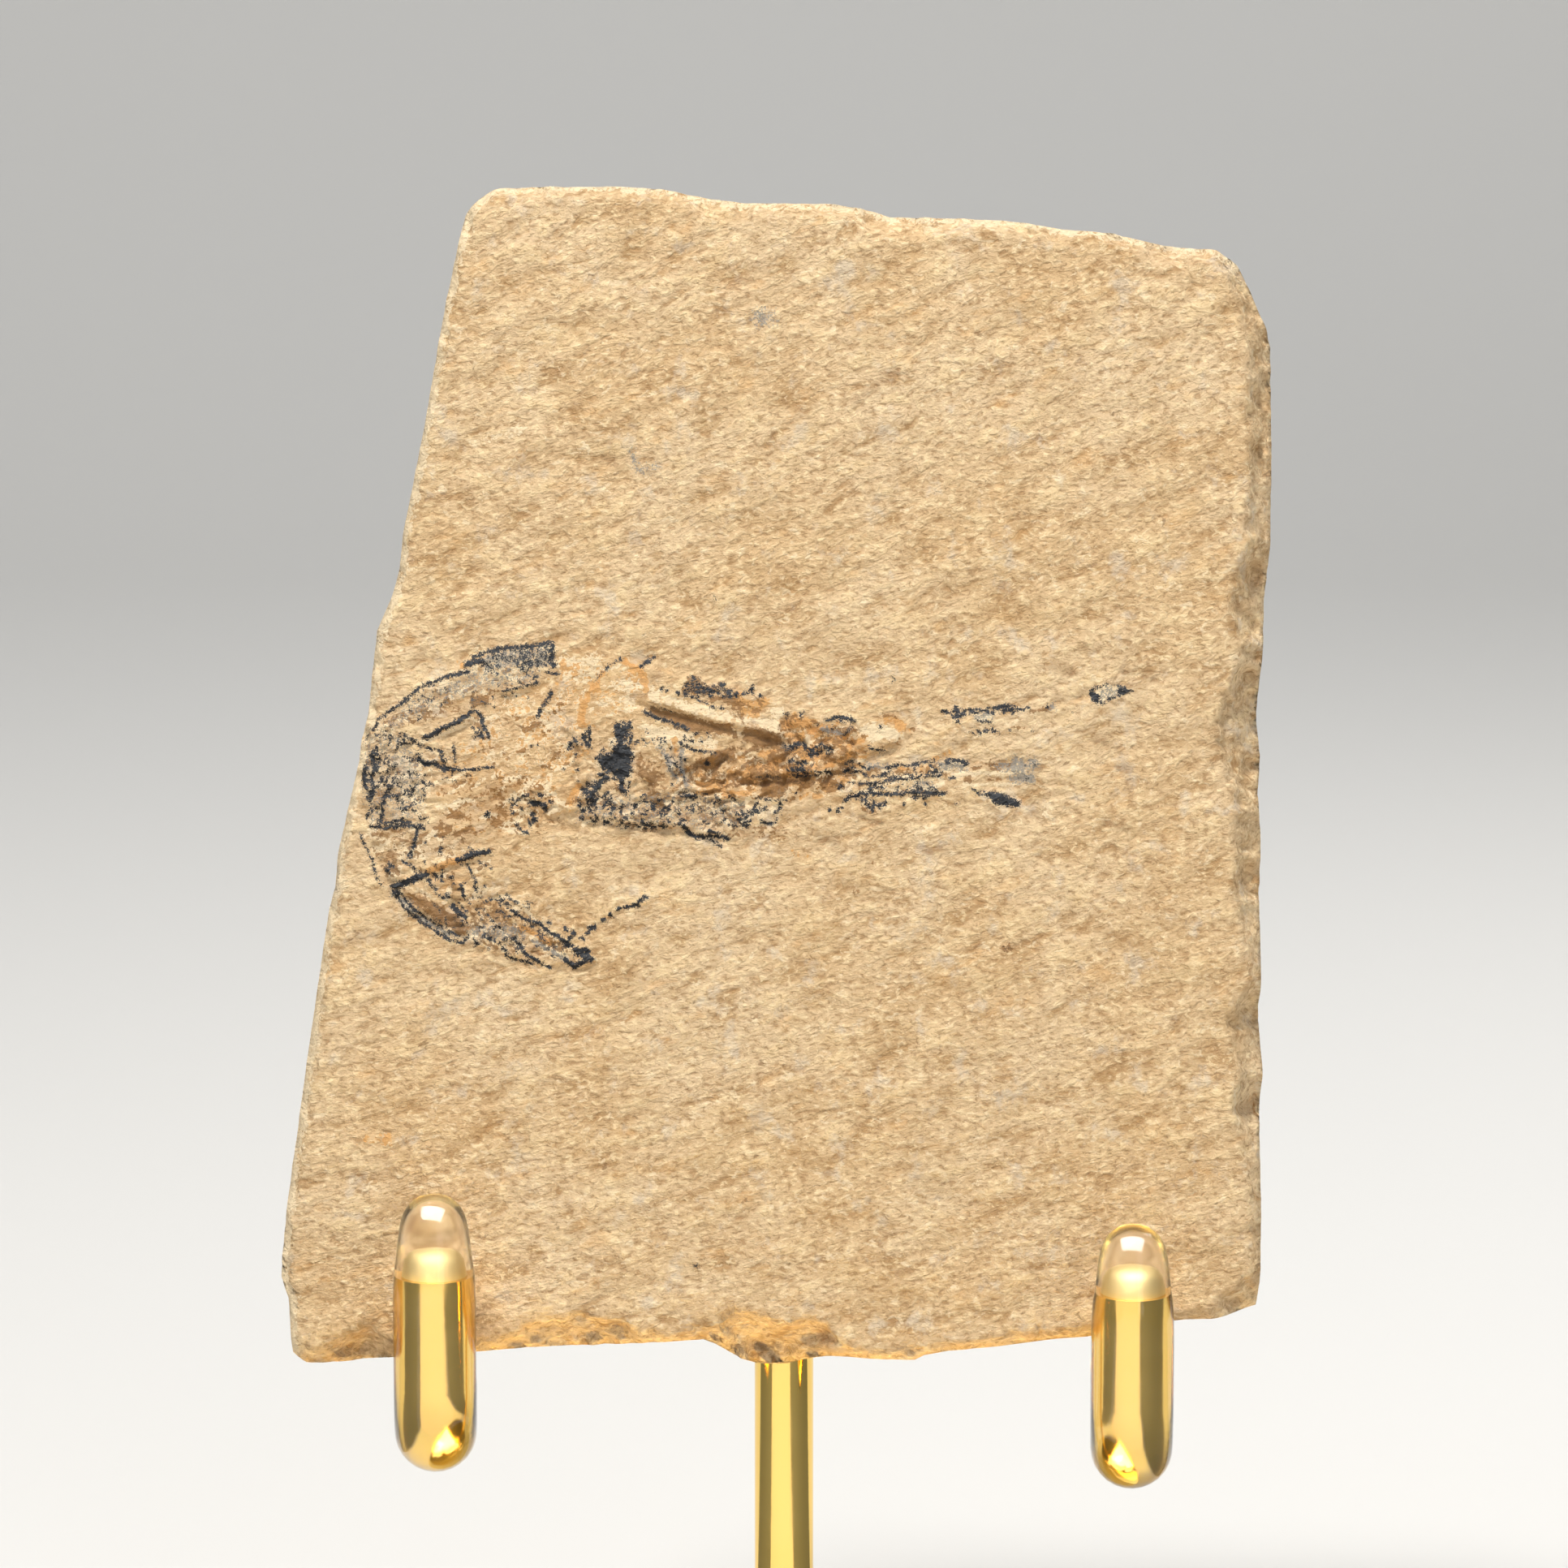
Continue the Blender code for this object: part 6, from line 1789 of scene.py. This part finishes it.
def turned(name, profile, material):
    """A profile of radius and height in millimetres, turned once round the upright axis."""
    outline = bmesh.new()
    points = [outline.verts.new((radius * MM, 0, height * MM)) for radius, height in profile]
    edges = [outline.edges.new(pair) for pair in zip(points, points[1:])]
    bmesh.ops.spin(
        outline, geom=points + edges, axis=(0, 0, 1), cent=(0, 0, 0), angle=2 * pi,
        steps=TURN_STEPS, use_merge=True,
    )
    piece = put_in_scene(name, welded(outline, name, sharp_from=35), material)
    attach(piece, "root")
    return piece


def rounded_edge(radius, height, size, start, end):
    """Points on a small rounded edge round this centre, from one angle to another."""
    shares = [step / EDGE_STEPS for step in range(EDGE_STEPS + 1)]
    angles = [radians(start + (end - start) * share) for share in shares]
    return [(radius + size * cos(a), height + size * sin(a)) for a in angles]


post_low, post_high = (corner.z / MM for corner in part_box("post"))
post_profile = (
    [(0, post_high)]
    + rounded_edge(ROD_RADIUS - POST_ROUND, post_high - POST_ROUND, POST_ROUND, 90, 0)
    + [(ROD_RADIUS, post_low), (0, post_low)]
)
post = turned("upright_post", post_profile, make_brass("polished post"))
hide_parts("post")

# The bead's radius at each height over the underside of the cross bar
BEAD = ((0, 0.6), (2.5, 0.75), (3.05, 0.5), (2.85, -0.5), (2.6, -1.3), (2.42, -2.2), (0, -2.2))
bar_underside = bar_height - ROD_RADIUS
bead_profile = [(radius, bar_underside + above) for radius, above in BEAD]
bead = turned("braze_bead", bead_profile, make_brass("brazing", smudge=0.4))

base_low, base_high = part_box("base")
BASE_RADIUS = (base_high.x - base_low.x) / 2 / MM
BASE_EDGE = 2.6
BASE_ROUND = 1.3
BASE_LIP = 0.5
BOSS_RADIUS = 6.6
BOSS_ROUND = 0.8
SOCKET_PLAY = 0.12
SOCKET_CHAMFER = 0.2
boss_height = base_high.z / MM
socket_floor = post_low - FIT_GAP
socket = ROD_RADIUS + SOCKET_PLAY
base_profile = (
    [(0, socket_floor), (socket, socket_floor), (socket, boss_height - SOCKET_CHAMFER)]
    + [(socket + SOCKET_CHAMFER, boss_height)]
    + rounded_edge(BOSS_RADIUS - BOSS_ROUND, boss_height - BOSS_ROUND, BOSS_ROUND, 90, 0)
    + [(BOSS_RADIUS + 0.15, boss_height - 1.4), (BOSS_RADIUS + 1.0, boss_height - 2.0)]
    + rounded_edge(BASE_RADIUS - BASE_ROUND, BASE_EDGE - 0.9, BASE_ROUND, 80, 0)
    + rounded_edge(BASE_RADIUS - BASE_LIP, BASE_LIP, BASE_LIP, 0, -90)
    + [(0, 0)]
)
foot = turned("round_foot", base_profile, make_brass("polished foot"))
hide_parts("base")
print("the post runs from", round(post_low, 1), "to", round(post_high, 1), "mm")
print("the foot is", round(2 * BASE_RADIUS, 1), "mm wide")

# %% [markdown]
# ## Clear sleeves
# Each prong and leg wears a clear vinyl sleeve that is closed at the top into a solid, rounded
# tip. On the real stand the vinyl clings to the rod, and because it bends light the brass looks
# as wide as the whole sleeve. An air gap round the rod would break that trick, so the sleeve is
# one solid clear body with the rod inside it. It is see-through by plain transmission, with the
# refraction of vinyl and a faint tint, and its thick tip is a little duller than the rest.

# %% Draw the sleeves over the prongs
TIP_PROFILE = (
    (0.0, 0.05), (0.05, 0.6), (0.2, 1.15), (0.5, 1.65), (0.9, 2.05), (1.4, 2.35), (2.0, 2.56),
    (2.8, 2.72), (4.0, 2.86), (5.2, 3.0), (6.2, 3.15), (7.4, 3.22), (8.6, 3.25),
)


DULL_OVER_ROD = 0.3
DULL_FADE = 1.2


def make_vinyl(dull_from):
    """Clear vinyl that turns a little duller in the thick tip above this height."""
    clear_looks = {"Base Color": (0.97, 0.96, 0.93, 1.0), "Transmission Weight": 1.0, "IOR": 1.46}
    material, tree, shader = start_material("clear vinyl", clear_looks)
    place = add_node(tree, "TexCoord").outputs["Object"]
    roughen(tree, shader, grain(tree, place, 3.2 * MM), 0.3, 0.03)
    height = add_node(tree, "SeparateXYZ", {"Vector": place}).outputs["Z"]
    dull = remap(tree, height, dull_from * MM, (dull_from + DULL_FADE) * MM, 0.07, 0.15)
    tree.links.new(dull, shader.inputs["Roughness"])
    return material


for side, prong in (("left", left), ("right", right)):
    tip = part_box(side + "_sleeve")[1].z / MM
    corners = (
        (prong["x"], prong["y"], tip - TIP_PROFILE[-1][0]),
        along_leg(prong, prong["y"]),
        along_leg(prong, prong["end"]),
    )
    route = rounded_path(corners, (BENDS["front"],))
    dome = [Vector((prong["x"], prong["y"], tip - below)) for below, _ in TIP_PROFILE]
    radii = [radius for _, radius in TIP_PROFILE] + [SLEEVE_RADIUS] * (len(route) - 1)
    name = "clear_sleeve_" + side
    vinyl = make_vinyl(dull_from=ROD_ENDS[side] + DULL_OVER_ROD)
    sleeve = put_in_scene(name, swept(name, dome + route[1:], radii), vinyl)
    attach(sleeve, "root")
    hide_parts(side + "_sleeve")
    print(name, "stands", round(tip, 1), "mm high")
